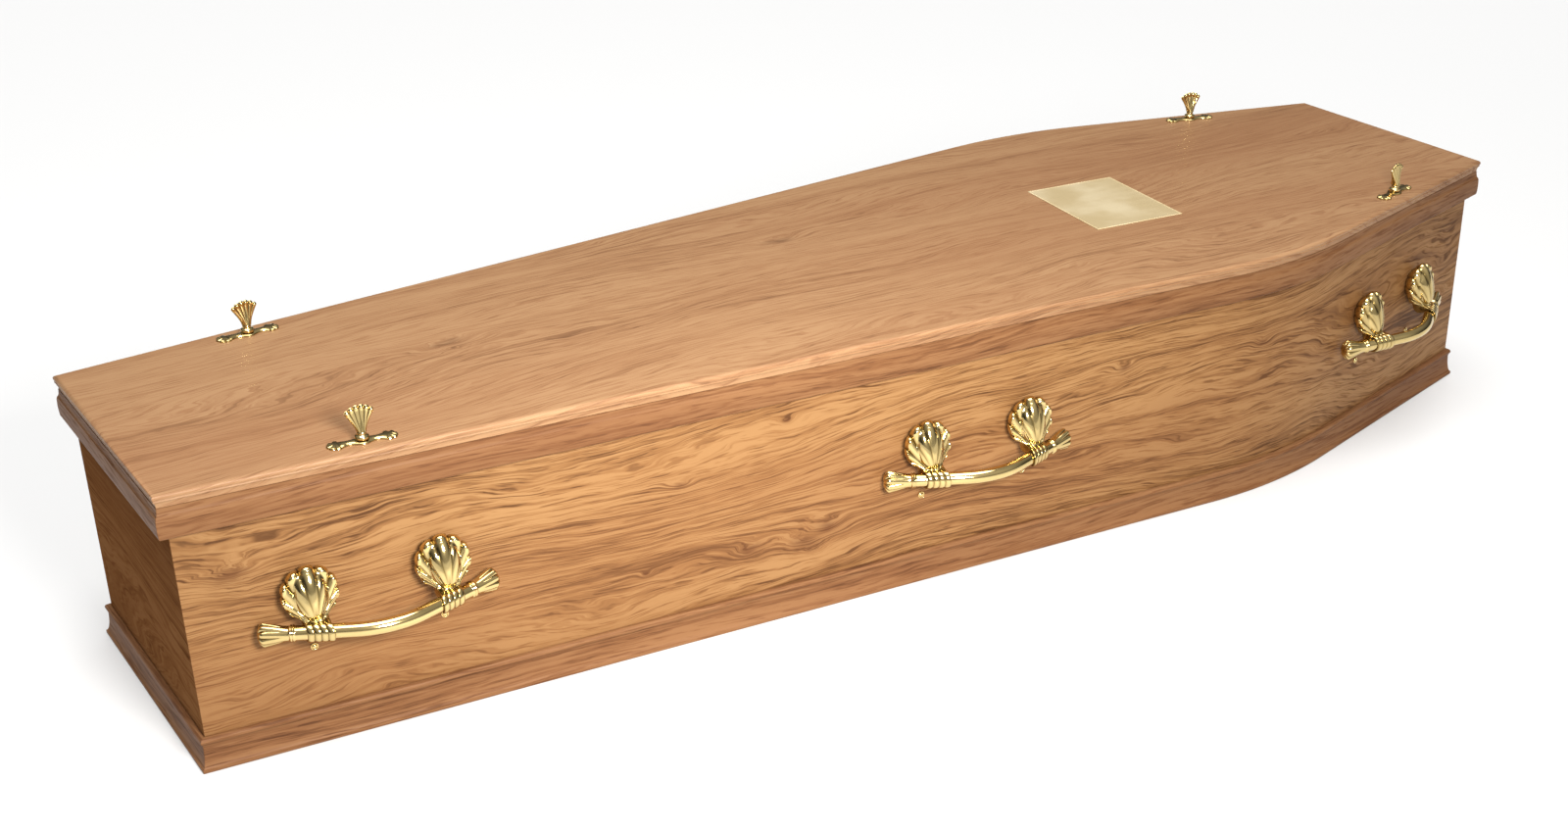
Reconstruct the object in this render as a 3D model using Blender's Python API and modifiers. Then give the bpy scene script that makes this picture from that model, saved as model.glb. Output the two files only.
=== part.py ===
"""Wooden coffin: a six-sided oak box with bent shoulders, a lift-off lid and brass fittings.

Metres, +Z up. The origin is on the ground under the middle of the box. The foot end is at -X and
the head end at +X. The left side is at -Y and the right side at +Y, as for someone lying inside.
"""
import math

import bmesh
import bpy
from mathutils import Vector

# Box, measured over the outside of its boards
BOX_LENGTH = 1.906
FOOT_WIDTH = 0.346
SHOULDER_WIDTH = 0.606
HEAD_WIDTH = 0.344
SHOULDER_TO_HEAD = 0.472
BOX_HEIGHT = 0.3197
SHOULDER_RADIUS = 0.60
SHOULDER_STEPS = 8
SIDE_THICKNESS = 0.015
FLOOR_THICKNESS = 0.015

# Lid board with its round nose, and the moulding that hangs under its edge
LID_THICKNESS = 0.016
LID_OVERHANG = 0.0125
NOSE_STEPS = 5
LID_MOULDING_HEIGHT = 0.036
LID_MOULDING_FIT = 0.0006
LID_COVE_DEPTH = 0.0030
LID_COVE_HEIGHT = 0.0090
LID_COVE_DROP = 0.001
LID_FACE_SWELL = 0.0006
LID_UNDER_RADIUS = 0.0035

# Moulding round the foot of the box
BASE_MOULDING_HEIGHT = 0.040
BASE_NOSE_OUT = 0.0068
BASE_NOSE_HEIGHT = 0.0080
BASE_COVE_DEPTH = 0.0024
BASE_FOOT_OUT = 0.0098
BASE_FOOT_HEIGHT = 0.0040
BASE_NOSE_END = -50.0
BASE_FLARE_SHARE = 0.9

# The quarter rounds of both mouldings stop at this angle in degrees; level would be 270
COVE_END = 262.0

# Pieces that touch keep this much air between them
GAP = 0.0003
MITRE_SHIFT = GAP / math.sqrt(2.0)

# Bar handles: where their middles lie along the side, and how high
FOOT_HANDLE_FROM_FOOT = 0.2015
MIDDLE_HANDLE_FROM_FOOT = 0.9555
HEAD_HANDLE_FROM_SHOULDER = 0.272
HANDLE_HEIGHT = 0.1518
BRACKET_SPACING = 0.146
BAR_RADIUS = 0.0082
BAR_STAND_OFF = 0.057
BAR_SIDES = 8
BOW_ANGLE = math.radians(22.0)
BOW_RADIUS = 0.100
BOW_STEPS = 3
COLLAR_FROM_BRACKET = 0.0245
COLLAR_LENGTH = 0.005
COLLAR_RADIUS = 0.0096
FINIAL_LENGTH = 0.034
FINIAL_HALF_HEIGHT = 0.0138
FINIAL_HALF_DEPTH = 0.0106
FINIAL_FLUTE = 0.14
FINIAL_SWELL = ((0.40, 0.45), (0.80, 0.90), (0.96, 1.0))
FINIAL_TIP = 0.75

# Shell brackets that carry a bar, heights measured from the bar's axis
SHELL_LOBES = 7
SHELL_RADIUS = 0.0312
SHELL_CENTRE_UP = 0.0385
SHELL_HALF_ANGLE = math.radians(88.0)
SHELL_RIM_DEPTH = 0.0180
SHELL_CROWN = 0.0090
SHELL_FLUTE = 0.0012
SHELL_LEVELS = (1.0, 0.80, 0.42, 0.0)
SHELL_CROWN_FALL = 0.9
SHELL_FOOT_SHARE = 0.6
SHELL_NECK_FLUTE = 0.4
CLASP_RIBS = 3
CLASP_RIB = 0.0006
NECK_UP = 0.0135
NECK_OUT = 0.0300
NECK_BACK_OUT = 0.0180
CLASP_WIDTH = 0.0265
CLASP_WALL = 0.0017
CLASP_FIT = 0.0012
CLASP_STEP = math.radians(60.0)
CLASP_STEPS = 5
CLASP_FRONT_START = math.radians(110.0)
CLASP_END = math.radians(-120.0)
STUD_DROP = 0.036
STUD_RADIUS = 0.0045
STUD_HEIGHT = 0.0030
STUD_SIDES = 8

# Wreath holders: a shell-ended plate with an upright fan
HOLDER_FROM_FOOT = 0.2105
HOLDER_FROM_HEAD = 0.196
HOLDER_INSET = 0.0250
PLATE_HALF_LENGTH = 0.0385
PLATE_END_RADIUS = 0.0105
PLATE_END_LOBES = 5
PLATE_END_NOTCH = 0.86
PLATE_END_HALF_ANGLE = math.radians(118.0)
PLATE_WAIST = 0.0052
PLATE_BOSS_RADIUS = 0.0100
PLATE_BOSS_ANGLES = (55.0, 90.0, 125.0)
PLATE_RIM = 0.0014
PLATE_RISE = 0.0034
PLATE_SHOULDER = 0.55
FAN_LOBES = 5
FAN_HEIGHT = 0.042
FAN_HALF_WIDTH = 0.0165
FAN_HALF_ANGLE = math.radians(52.0)
FAN_THICKNESS = 0.0030
FAN_NECK_UP = 0.013
FAN_NECK_RADIUS = 0.0055
FAN_COLLAR_RADIUS = 0.0078
FAN_FLUTE = 0.0008
FAN_LEVELS = (0.0, 0.45, 0.85, 1.0)
FAN_RIM_SIDE = 0.62
FAN_RIM_BEND = 1.4
FAN_NECK_SPARE = 0.0006
FAN_COLLAR_LEVELS = ((0.0, FAN_COLLAR_RADIUS), (0.35, FAN_COLLAR_RADIUS), (0.6, FAN_NECK_RADIUS))
FAN_COLLAR_TURN = math.radians(82.8)

# Nameplate, laid on the lid by hand and so a little askew
NAMEPLATE_ALONG = 0.136
NAMEPLATE_ACROSS = 0.178
NAMEPLATE_THICKNESS = 0.0012
NAMEPLATE_FROM_HEAD = 0.560
NAMEPLATE_OFF_CENTRE = -0.020
NAMEPLATE_TURN = math.radians(-6.0)
NAMEPLATE_BEVEL = 0.0003

OAK_TOP = ("oak_lid", (0.50, 0.27, 0.13), 0.30, 0.0)
OAK_SIDE = ("oak_side", (0.40, 0.20, 0.08), 0.36, 0.0)
OAK_TRIM = ("oak_moulding", (0.38, 0.18, 0.07), 0.34, 0.0)
RAW_BOARD = ("raw_board", (0.45, 0.33, 0.20), 0.80, 0.0)
BRASS = ("polished_brass", (0.80, 0.62, 0.27), 0.16, 1.0)
PALE_BRASS = ("nameplate_brass", (0.78, 0.70, 0.45), 0.28, 1.0)


def clear_scene():
    """Remove every object that the scene starts with."""
    for item in list(bpy.data.objects):
        bpy.data.objects.remove(item, do_unlink=True)


def new_collection(name):
    """Make a collection in the scene."""
    group = bpy.data.collections.new(name)
    bpy.context.scene.collection.children.link(group)
    return group


def get_material(finish):
    """Make, or find again, the Principled material of a finish."""
    name, colour, roughness, metallic = finish
    found = bpy.data.materials.get(name)
    if found:
        return found
    made = bpy.data.materials.new(name)
    made.use_nodes = True
    shader = made.node_tree.nodes["Principled BSDF"]
    shader.inputs["Base Color"].default_value = (*colour, 1.0)
    shader.inputs["Roughness"].default_value = roughness
    shader.inputs["Metallic"].default_value = metallic
    made.diffuse_color = (*colour, 1.0)
    return made


def add_object(name, data, finish, parent=None):
    """Put a mesh or curve into the coffin's collection."""
    thing = bpy.data.objects.new(name, data)
    if not data.materials:
        data.materials.append(get_material(finish))
    COFFIN.objects.link(thing)
    thing.parent = parent
    return thing


def add_empty(name, location, turn):
    """Add an empty that carries a group of pieces, turned about the vertical."""
    frame = bpy.data.objects.new(name, None)
    frame.empty_display_size = 0.05
    frame.location = location
    frame.rotation_euler = (0.0, 0.0, turn)
    COFFIN.objects.link(frame)
    return frame


def mesh_from(name, build, smooth_angle=40.0):
    """Make a mesh with `build`, turn its faces outward and shade its round parts smooth."""
    shape = bmesh.new()
    build(shape)
    bmesh.ops.recalc_face_normals(shape, faces=shape.faces)
    mesh = bpy.data.meshes.new(name)
    shape.to_mesh(mesh)
    shape.free()
    mesh.shade_smooth()
    mesh.set_sharp_from_angle(angle=math.radians(smooth_angle))
    return mesh


def loft_rows(shape, rows):
    """Join closed loops of equal count with quads and return their vertices."""
    loops = [[shape.verts.new(point) for point in row] for row in rows]
    for first, second in zip(loops, loops[1:]):
        count = len(first)
        for i in range(count):
            j = (i + 1) % count
            shape.faces.new((first[i], first[j], second[j], second[i]))
    return loops


def loft(shape, rows):
    """Loft closed loops and cap both ends."""
    loops = loft_rows(shape, rows)
    shape.faces.new(loops[0])
    shape.faces.new(loops[-1])


def ellipse_arc(centre, radii, start, end, steps):
    """Points along part of an ellipse, angles in degrees."""
    points = []
    for i in range(steps + 1):
        angle = math.radians(start + (end - start) * i / steps)
        x = centre[0] + radii[0] * math.cos(angle)
        y = centre[1] + radii[1] * math.sin(angle)
        points.append((x, y))
    return points


def mirrored(points):
    """The same outline on the other side of the centre line."""
    return [(x, -y) for x, y in reversed(points)]


# Plan of the box

FOOT_CORNER = Vector((-BOX_LENGTH / 2, -FOOT_WIDTH / 2))
SHOULDER = Vector((BOX_LENGTH / 2 - SHOULDER_TO_HEAD, -SHOULDER_WIDTH / 2))
HEAD_CORNER = Vector((BOX_LENGTH / 2, -HEAD_WIDTH / 2))
LONG_RUN = (SHOULDER - FOOT_CORNER).normalized()
SHORT_RUN = (HEAD_CORNER - SHOULDER).normalized()
LONG_FACE = Vector((LONG_RUN.y, -LONG_RUN.x))
SHORT_FACE = Vector((SHORT_RUN.y, -SHORT_RUN.x))
HALF_BEND = LONG_FACE.angle(SHORT_FACE) / 2
BEND_CENTRE = SHOULDER - (LONG_FACE + SHORT_FACE).normalized() * SHOULDER_RADIUS / math.cos(HALF_BEND)


def end_corner(corner, run, face, end_x, out):
    """Corner of the plan where a side moved out by `out` meets its end moved out as much."""
    start = corner + face * out
    reach = (end_x + out * math.copysign(1.0, end_x) - start.x) / run.x
    return start + run * reach


def left_side(out):
    """Left edge of the plan moved out by `out`: foot corner, bent shoulder, head corner."""
    first = end_corner(FOOT_CORNER, LONG_RUN, LONG_FACE, -BOX_LENGTH / 2, out)
    last = end_corner(HEAD_CORNER, SHORT_RUN, SHORT_FACE, BOX_LENGTH / 2, out)
    start = math.degrees(math.atan2(LONG_FACE.y, LONG_FACE.x))
    end = math.degrees(math.atan2(SHORT_FACE.y, SHORT_FACE.x))
    radius = SHOULDER_RADIUS + out
    bend = ellipse_arc(BEND_CENTRE, (radius, radius), start, end, SHOULDER_STEPS)
    return [tuple(first)] + bend + [tuple(last)]


def outline(out):
    """The whole plan moved out by `out`, as one ring."""
    left = left_side(out)
    return left + mirrored(left)


def mitred_side(out):
    """Left edge of the plan with its two ends drawn back from the mitres."""
    points = [Vector(point) for point in left_side(out)]
    points[0] += LONG_RUN * MITRE_SHIFT
    points[-1] -= SHORT_RUN * MITRE_SHIFT
    return points


def mitred_end(out, at_head):
    """An end of the plan, left to right, drawn back from the mitres."""
    x, y = left_side(out)[-1 if at_head else 0]
    y += MITRE_SHIFT
    return [Vector((x, y)), Vector((x, -y))]


def slab(name, plan, bottom, thickness, finish):
    """A board cut to a flat outline: a filled 2D curve with half its thickness each way."""
    curve = bpy.data.curves.new(name, "CURVE")
    curve.dimensions = "2D"
    curve.fill_mode = "BOTH"
    curve.extrude = thickness / 2
    spline = curve.splines.new("POLY")
    spline.points.add(len(plan) - 1)
    for point, place in zip(spline.points, plan):
        point.co = (place[0], place[1], 0.0, 1.0)
    spline.use_cyclic_u = True
    board = add_object(name, curve, finish)
    board.location = (0.0, 0.0, bottom + thickness / 2)
    return board


def moulding(name, profile, path_of, flip, finish):
    """A strip with `profile`, (out, height) points, carried along a plan path with mitred ends."""
    side = -1.0 if flip else 1.0

    def build(shape):
        tracks = [(path_of(out), height) for out, height in profile]
        rows = []
        for station in range(len(tracks[0][0])):
            rows.append([(t[station].x, side * t[station].y, height) for t, height in tracks])
        loft(shape, rows)

    return add_object(name, mesh_from(name, build), finish)


def four_mouldings(kind, profile, finish):
    """The left, right, foot and head strips of one moulding."""
    moulding(f"{kind}_left", profile, mitred_side, False, finish)
    moulding(f"{kind}_right", profile, mitred_side, True, finish)
    moulding(f"{kind}_foot", profile, lambda out: mitred_end(out, False), False, finish)
    moulding(f"{kind}_head", profile, lambda out: mitred_end(out, True), False, finish)


def build_box():
    """Floor, two bent sides and two ends, all standing on the ground."""
    outer = mitred_side(0.0)
    inner = mitred_side(-SIDE_THICKNESS)
    side = [tuple(point) for point in outer] + [tuple(point) for point in reversed(inner)]
    slab("side_board_left", side, 0.0, BOX_HEIGHT, OAK_SIDE)
    slab("side_board_right", mirrored(side), 0.0, BOX_HEIGHT, OAK_SIDE)
    for name, at_head in (("foot_board", False), ("head_board", True)):
        plan = mitred_end(0.0, at_head) + list(reversed(mitred_end(-SIDE_THICKNESS, at_head)))
        slab(name, plan, 0.0, BOX_HEIGHT, OAK_SIDE)
    slab("floor_board", outline(-SIDE_THICKNESS - GAP), 0.0, FLOOR_THICKNESS, RAW_BOARD)


def base_profile():
    """Base moulding: round nose on top, a hollow below it, then a flare to the foot."""
    top = BASE_MOULDING_HEIGHT
    nose_middle = top - BASE_NOSE_HEIGHT / 2
    nose_centre = (BASE_NOSE_OUT - BASE_NOSE_HEIGHT / 2, nose_middle)
    half = BASE_NOSE_HEIGHT / 2
    nose = ellipse_arc(nose_centre, (half, half), 90.0, BASE_NOSE_END, 5)
    hollow_out = BASE_NOSE_OUT - BASE_COVE_DEPTH
    flare_height = (nose[-1][1] - BASE_FOOT_HEIGHT) * BASE_FLARE_SHARE
    flare_centre = (BASE_FOOT_OUT, BASE_FOOT_HEIGHT + flare_height)
    flare = ellipse_arc(flare_centre, (BASE_FOOT_OUT - hollow_out, flare_height), 180.0, COVE_END, 5)
    foot = [(BASE_FOOT_OUT, BASE_FOOT_HEIGHT), (BASE_FOOT_OUT, 0.0)]
    return [(GAP, 0.0), (GAP, top)] + nose + flare + foot


def lid_moulding_profile():
    """Lid moulding: a small hollow under the lid's nose, a long face, rounded under at the wall."""
    top = BOX_HEIGHT
    bottom = BOX_HEIGHT + GAP - LID_MOULDING_HEIGHT
    hollow_out = LID_OVERHANG - LID_COVE_DEPTH
    hollow_top = (LID_OVERHANG, top - LID_COVE_DROP)
    hollow = ellipse_arc(hollow_top, (LID_COVE_DEPTH, LID_COVE_HEIGHT), 180.0, COVE_END, 4)
    under = LID_UNDER_RADIUS
    under_arc = ellipse_arc((LID_OVERHANG - under, bottom + under), (under, under), 0.0, -90.0, 4)
    face_middle = (hollow[-1][1] + under_arc[0][1]) / 2
    face = [(LID_OVERHANG + LID_FACE_SWELL, face_middle)]
    return [(LID_MOULDING_FIT, bottom), (LID_MOULDING_FIT, top), (hollow_out, top)] + hollow + face + under_arc


def build_lid():
    """The lid board with a half-round edge, resting on the box, and the strips under its edge."""
    bottom = BOX_HEIGHT + GAP
    radius = LID_THICKNESS / 2
    nose = ellipse_arc((LID_OVERHANG - radius, bottom + radius), (radius, radius), -90.0, 90.0, NOSE_STEPS)

    def build(shape):
        loft(shape, [[(x, y, height) for x, y in outline(out)] for out, height in nose])

    add_object("lid_board", mesh_from("lid_board", build), OAK_TOP)
    four_mouldings("lid_moulding", lid_moulding_profile(), OAK_TRIM)


# Bar handles, drawn with the wall at y = 0, the outside at -Y and the bar's axis at z = 0

BOW_HALF = BOW_RADIUS * math.sin(BOW_ANGLE)
CLASP_AT = BRACKET_SPACING / 2
ARM_SLOPE = math.tan(BOW_ANGLE)


def bar_stand_off(along):
    """Distance of the bar's axis from the wall: a bow in the middle and straight arms."""
    if abs(along) < BOW_HALF:
        sag = BOW_RADIUS - math.sqrt(BOW_RADIUS**2 - along**2)
    else:
        sag = BOW_RADIUS * (1.0 - math.cos(BOW_ANGLE)) + (abs(along) - BOW_HALF) * ARM_SLOPE
    return BAR_STAND_OFF - sag


def bar_loop(along, half_height, half_depth, flute=0.0):
    """Cross-section of the bar, square to its axis, with alternate points drawn in for flutes."""
    lean = max(-1.0, min(1.0, along / BOW_HALF)) * BOW_ANGLE
    loop = []
    for i in range(BAR_SIDES):
        angle = 2 * math.pi * (i + 0.5) / BAR_SIDES
        grow = 1.0 - flute * (i % 2)
        across = half_depth * grow * math.cos(angle)
        up = half_height * grow * math.sin(angle)
        x = along + across * math.sin(lean)
        y = bar_stand_off(along) + across * math.cos(lean)
        loop.append((x, -y, up))
    return loop


def bar_half():
    """Sections from the middle of the bar out to its finial: (along, half height, half depth, flute)."""
    step = math.cos(BOW_ANGLE)
    collar = CLASP_AT + COLLAR_FROM_BRACKET * step
    collar_end = collar + COLLAR_LENGTH * step
    tip = collar_end + FINIAL_LENGTH * step
    thin = BAR_RADIUS
    rows = [(BOW_HALF * i / BOW_STEPS, thin, thin, 0.0) for i in range(1, BOW_STEPS + 1)]
    rows += [(collar, thin, thin, 0.0), (collar, COLLAR_RADIUS, COLLAR_RADIUS, 0.0)]
    rows += [(collar_end, COLLAR_RADIUS, COLLAR_RADIUS, 0.0), (collar_end, thin, thin, 0.0)]
    for share, size in FINIAL_SWELL:
        high = thin + (FINIAL_HALF_HEIGHT - thin) * size
        deep = thin + (FINIAL_HALF_DEPTH - thin) * size
        rows.append((collar_end + (tip - collar_end) * share, high, deep, FINIAL_FLUTE * size))
    rows.append((tip, FINIAL_HALF_HEIGHT * FINIAL_TIP, FINIAL_HALF_DEPTH * FINIAL_TIP, FINIAL_FLUTE))
    return rows


def build_bar(shape):
    """The whole bar with its two finials."""
    half = bar_half()
    middle = [(0.0, BAR_RADIUS, BAR_RADIUS, 0.0)]
    rows = [(-a, h, d, f) for a, h, d, f in reversed(half)] + middle + half
    loft(shape, [bar_loop(*row) for row in rows])


def shell_rim(share):
    """A point of the shell's round rim, `share` of the half angle away from its top."""
    angle = share * SHELL_HALF_ANGLE
    rise = SHELL_CENTRE_UP - NECK_UP
    reach = rise * math.cos(angle) + math.sqrt(SHELL_RADIUS**2 - (rise * math.sin(angle)) ** 2)
    return reach * math.sin(angle), NECK_UP + reach * math.cos(angle)


def shell_row(level, columns):
    """Front of the shell at `level`, 0 at the neck and 1 at the rim, as (x, out, up)."""
    points = []
    for i, share in enumerate(columns):
        rim_x, rim_up = shell_rim(share)
        x = (CLASP_WIDTH / 2) * share * (1.0 - level) + rim_x * level
        up = NECK_UP * (1.0 - level) + rim_up * level
        fall = NECK_OUT + (SHELL_RIM_DEPTH - NECK_OUT) * level
        swell = SHELL_CROWN * math.sin(math.pi * level) * (1.0 - SHELL_CROWN_FALL * share * share)
        depth = SHELL_NECK_FLUTE + (1.0 - SHELL_NECK_FLUTE) * level
        flute = SHELL_FLUTE * (1.0 if i % 2 else -1.0) * depth
        points.append((x, fall + swell + flute, up))
    return points


def shell_foot(x, up):
    """Where a point of the shell's edge is carried back to on the wall, drawn in behind the rim."""
    return (x * SHELL_FOOT_SHARE, GAP, SHELL_CENTRE_UP + (up - SHELL_CENTRE_UP) * SHELL_FOOT_SHARE)


def clasp_point(share, angle, radius):
    """A point round the bar where the clasp holds it."""
    x = share * CLASP_WIDTH / 2
    axis = bar_stand_off(CLASP_AT) - x * ARM_SLOPE
    return (x, axis + radius * math.cos(angle), radius * math.sin(angle))


def ridge_columns(ridges):
    """Shares from -1 to 1 across a fluted face, with a ridge on every odd one."""
    return [i / ridges - 1.0 for i in range(2 * ridges + 1)]


def clasp_rows():
    """Loops of the clasp: a ribbed outside and a plain inside that wrap over the bar from above."""
    inner = (BAR_RADIUS + CLASP_FIT) / math.cos(CLASP_STEP / 2)
    rows = []
    for step in range(CLASP_STEPS + 1):
        part = step / CLASP_STEPS
        front_angle = CLASP_FRONT_START + (CLASP_END - CLASP_FRONT_START) * part
        back_angle = math.pi + (CLASP_END - math.pi) * part
        row = []
        for i, share in enumerate(ridge_columns(CLASP_RIBS)):
            rib = CLASP_RIB * (1.0 if i % 2 else -1.0)
            row.append(clasp_point(share, front_angle, inner + CLASP_WALL + rib))
        rows.append(row + [clasp_point(side, back_angle, inner) for side in (1.0, -1.0)])
    return rows


def bridge(shape, first, second):
    """Fill the strip between two edges of unlike point counts with triangles."""
    i = j = 0
    while i < len(first) - 1 or j < len(second) - 1:
        if (i + 1) * (len(second) - 1) <= (j + 1) * (len(first) - 1) and i < len(first) - 1:
            shape.faces.new((first[i], first[i + 1], second[j]))
            i += 1
        else:
            shape.faces.new((first[i], second[j + 1], second[j]))
            j += 1


def build_bracket(shape, mirror):
    """Shell on the wall, fluted neck, and the clasp that holds the bar."""
    columns = ridge_columns(SHELL_LOBES)
    count = len(columns)
    fronts = [shell_row(level, columns) for level in SHELL_LEVELS]
    backs = [[shell_foot(row[-1][0], row[-1][2]), shell_foot(row[0][0], row[0][2])] for row in fronts[:-1]]
    backs.append([(side * CLASP_WIDTH / 2, NECK_BACK_OUT, 0.0) for side in (1.0, -1.0)])

    def place(point):
        x, out, up = point
        return (x * mirror, -out, up)

    shell = loft_rows(shape, [[place(p) for p in front + back] for front, back in zip(fronts, backs)])
    clasp = loft_rows(shape, [[place(p) for p in row] for row in clasp_rows()])
    neck, top = shell[-1], clasp[0]
    bridge(shape, neck[:count], top[:-2])
    for i in (-3, -2, -1):
        shape.faces.new((neck[i], neck[i + 1], top[i + 1], top[i]))
    shape.faces.new(clasp[-1])
    rim = shell[0]
    on_wall = [shape.verts.new(place(shell_foot(x, up))) for x, _, up in fronts[0][1:-1]]
    foot = [rim[-1]] + on_wall + [rim[-2]]
    for i in range(count - 1):
        shape.faces.new((rim[i], rim[i + 1], foot[i + 1], foot[i]))
    shape.faces.new(foot)


def build_stud():
    """Domed stud under a clasp: a half profile turned about the axis that points out of the wall."""
    mesh = bpy.data.meshes.new("handle_stud")
    shape = bmesh.new()
    dome = ellipse_arc((0.0, GAP), (STUD_RADIUS, STUD_HEIGHT), 90.0, 0.0, 2)
    profile = [(x, height) for x, height in dome] + [(0.0, GAP)]
    verts = [shape.verts.new((x, 0.0, height)) for x, height in profile]
    for first, second in zip(verts, verts[1:]):
        shape.edges.new((first, second))
    shape.to_mesh(mesh)
    shape.free()
    return mesh


def turn_profile(thing, steps):
    """Turn an object's profile about its own Z axis."""
    screw = thing.modifiers.new("turned", "SCREW")
    screw.axis = "Z"
    screw.steps = steps
    screw.render_steps = steps
    screw.use_merge_vertices = True
    screw.merge_threshold = 0.00001
    screw.use_smooth_shade = True


def handle_places():
    """Name, place on the left wall and turn of the three handles of a side."""
    long_turn = math.atan2(LONG_RUN.y, LONG_RUN.x)
    short_turn = math.atan2(SHORT_RUN.y, SHORT_RUN.x)
    foot = FOOT_CORNER + LONG_RUN * FOOT_HANDLE_FROM_FOOT
    middle = FOOT_CORNER + LONG_RUN * MIDDLE_HANDLE_FROM_FOOT
    head = SHOULDER + SHORT_RUN * HEAD_HANDLE_FROM_SHOULDER
    return [("foot", foot, long_turn), ("middle", middle, long_turn), ("head", head, short_turn)]


def build_handles():
    """Three handles on each side, each a bar, two shell brackets and two studs."""
    bar = mesh_from("handle_bar", build_bar)
    brackets = {
        1: mesh_from("bracket_headward", lambda shape: build_bracket(shape, 1)),
        -1: mesh_from("bracket_footward", lambda shape: build_bracket(shape, -1)),
    }
    stud = build_stud()
    for side, sign in (("left", 1), ("right", -1)):
        for place, spot, turn in handle_places():
            angle = turn if sign > 0 else math.pi - turn
            location = (spot.x, spot.y * sign, HANDLE_HEIGHT)
            frame = add_empty(f"handle_{side}_{place}", location, angle)
            add_object(f"handle_bar_{side}_{place}", bar, BRASS, frame)
            for end in (-1, 1):
                word = "head" if end * sign > 0 else "foot"
                bracket = add_object(f"bracket_{side}_{place}_{word}", brackets[end], BRASS, frame)
                bracket.location = (end * CLASP_AT, 0.0, 0.0)
                pin = add_object(f"stud_{side}_{place}_{word}", stud, BRASS, frame)
                pin.location = (end * CLASP_AT, 0.0, -STUD_DROP)
                pin.rotation_euler = (math.pi / 2, 0.0, 0.0)
                turn_profile(pin, STUD_SIDES)


# Wreath holders, drawn with the lid's top at z = 0 and their length along X

def plate_outline():
    """Plan of the plate with the spine point that each outline point is drawn towards."""
    centre = PLATE_HALF_LENGTH - PLATE_END_RADIUS
    fan_end = []
    count = 2 * PLATE_END_LOBES
    for i in range(count + 1):
        angle = PLATE_END_HALF_ANGLE * (2.0 * i / count - 1.0)
        radius = PLATE_END_RADIUS * (1.0 if i % 2 else PLATE_END_NOTCH)
        point = (centre + radius * math.cos(angle), radius * math.sin(angle))
        fan_end.append((point, (centre, 0.0)))
    waist = (centre + PLATE_BOSS_RADIUS) / 2
    boss = PLATE_BOSS_RADIUS
    upper = [((waist, PLATE_WAIST), (waist, 0.0))]
    for angle in PLATE_BOSS_ANGLES:
        turn = math.radians(angle)
        upper.append(((boss * math.cos(turn), boss * math.sin(turn)), (0.0, 0.0)))
    upper.append(((-waist, PLATE_WAIST), (-waist, 0.0)))
    half = fan_end + upper
    turned = [((-p[0], -p[1]), (-s[0], -s[1])) for p, s in half]
    return half + turned


def build_plate(shape):
    """Low plate with scalloped shell ends, a waist and a round boss."""
    plan = plate_outline()
    rows = []
    for height, draw in ((GAP, 1.0), (PLATE_RIM, 1.0), (PLATE_RISE, PLATE_SHOULDER)):
        row = []
        for (x, y), (spine_x, spine_y) in plan:
            row.append((spine_x + (x - spine_x) * draw, spine_y + (y - spine_y) * draw, height))
        rows.append(row)
    loft(shape, rows)


def fan_row(level, columns):
    """Front and back of the upright fan at `level`, 0 at its neck and 1 at its rim."""
    front = []
    back = []
    reach = FAN_HEIGHT - FAN_NECK_UP
    for i, share in enumerate(columns):
        angle = share * FAN_HALF_ANGLE
        rim_x = FAN_HALF_WIDTH * math.sin(angle) / math.sin(FAN_HALF_ANGLE)
        rim_up = reach * (FAN_RIM_SIDE + (1.0 - FAN_RIM_SIDE) * math.cos(angle * FAN_RIM_BEND))
        x = FAN_NECK_RADIUS * share * (1.0 - level) + rim_x * level
        up = FAN_NECK_UP + rim_up * level
        round_neck = FAN_NECK_RADIUS * math.sqrt(max(0.0, 1.0 - share * share)) + FAN_NECK_SPARE
        half = round_neck * (1.0 - level) + FAN_THICKNESS / 2 * level
        flute = FAN_FLUTE * (1.0 if i % 2 else -1.0) * level
        front.append((x, -half - flute, up))
        back.append((x, half + flute, up))
    return front + list(reversed(back))


def build_fan(shape):
    """Upright fan on a round collar that stands on the plate's boss."""
    columns = ridge_columns(FAN_LOBES)
    count = len(columns)
    seat = PLATE_RISE + GAP
    rise = FAN_NECK_UP - seat
    rows = []
    for share, radius in FAN_COLLAR_LEVELS:
        ring = []
        for side in (-1.0, 1.0):
            for column in (columns if side < 0 else reversed(columns)):
                x = radius * math.sin(column * FAN_COLLAR_TURN)
                y = side * radius * math.cos(column * FAN_COLLAR_TURN)
                ring.append((x, y, seat + rise * share))
        rows.append(ring)
    rows += [fan_row(level, columns) for level in FAN_LEVELS]
    loops = loft_rows(shape, rows)
    shape.faces.new(loops[0])
    rim = loops[-1]
    for i in range(count - 1):
        shape.faces.new((rim[i], rim[i + 1], rim[-2 - i], rim[-1 - i]))


def holder_places():
    """Name, place on the lid and turn of the two wreath holders of the left side."""
    top = BOX_HEIGHT + GAP + LID_THICKNESS
    inset = HOLDER_INSET - LID_OVERHANG
    foot_along = HOLDER_FROM_FOOT / LONG_RUN.x
    head_along = HOLDER_FROM_HEAD / SHORT_RUN.x
    foot = FOOT_CORNER + LONG_RUN * foot_along - LONG_FACE * inset
    head = HEAD_CORNER - SHORT_RUN * head_along - SHORT_FACE * inset
    return [
        ("foot", (foot.x, foot.y, top), math.atan2(LONG_RUN.y, LONG_RUN.x)),
        ("head", (head.x, head.y, top), math.atan2(SHORT_RUN.y, SHORT_RUN.x)),
    ]


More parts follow.
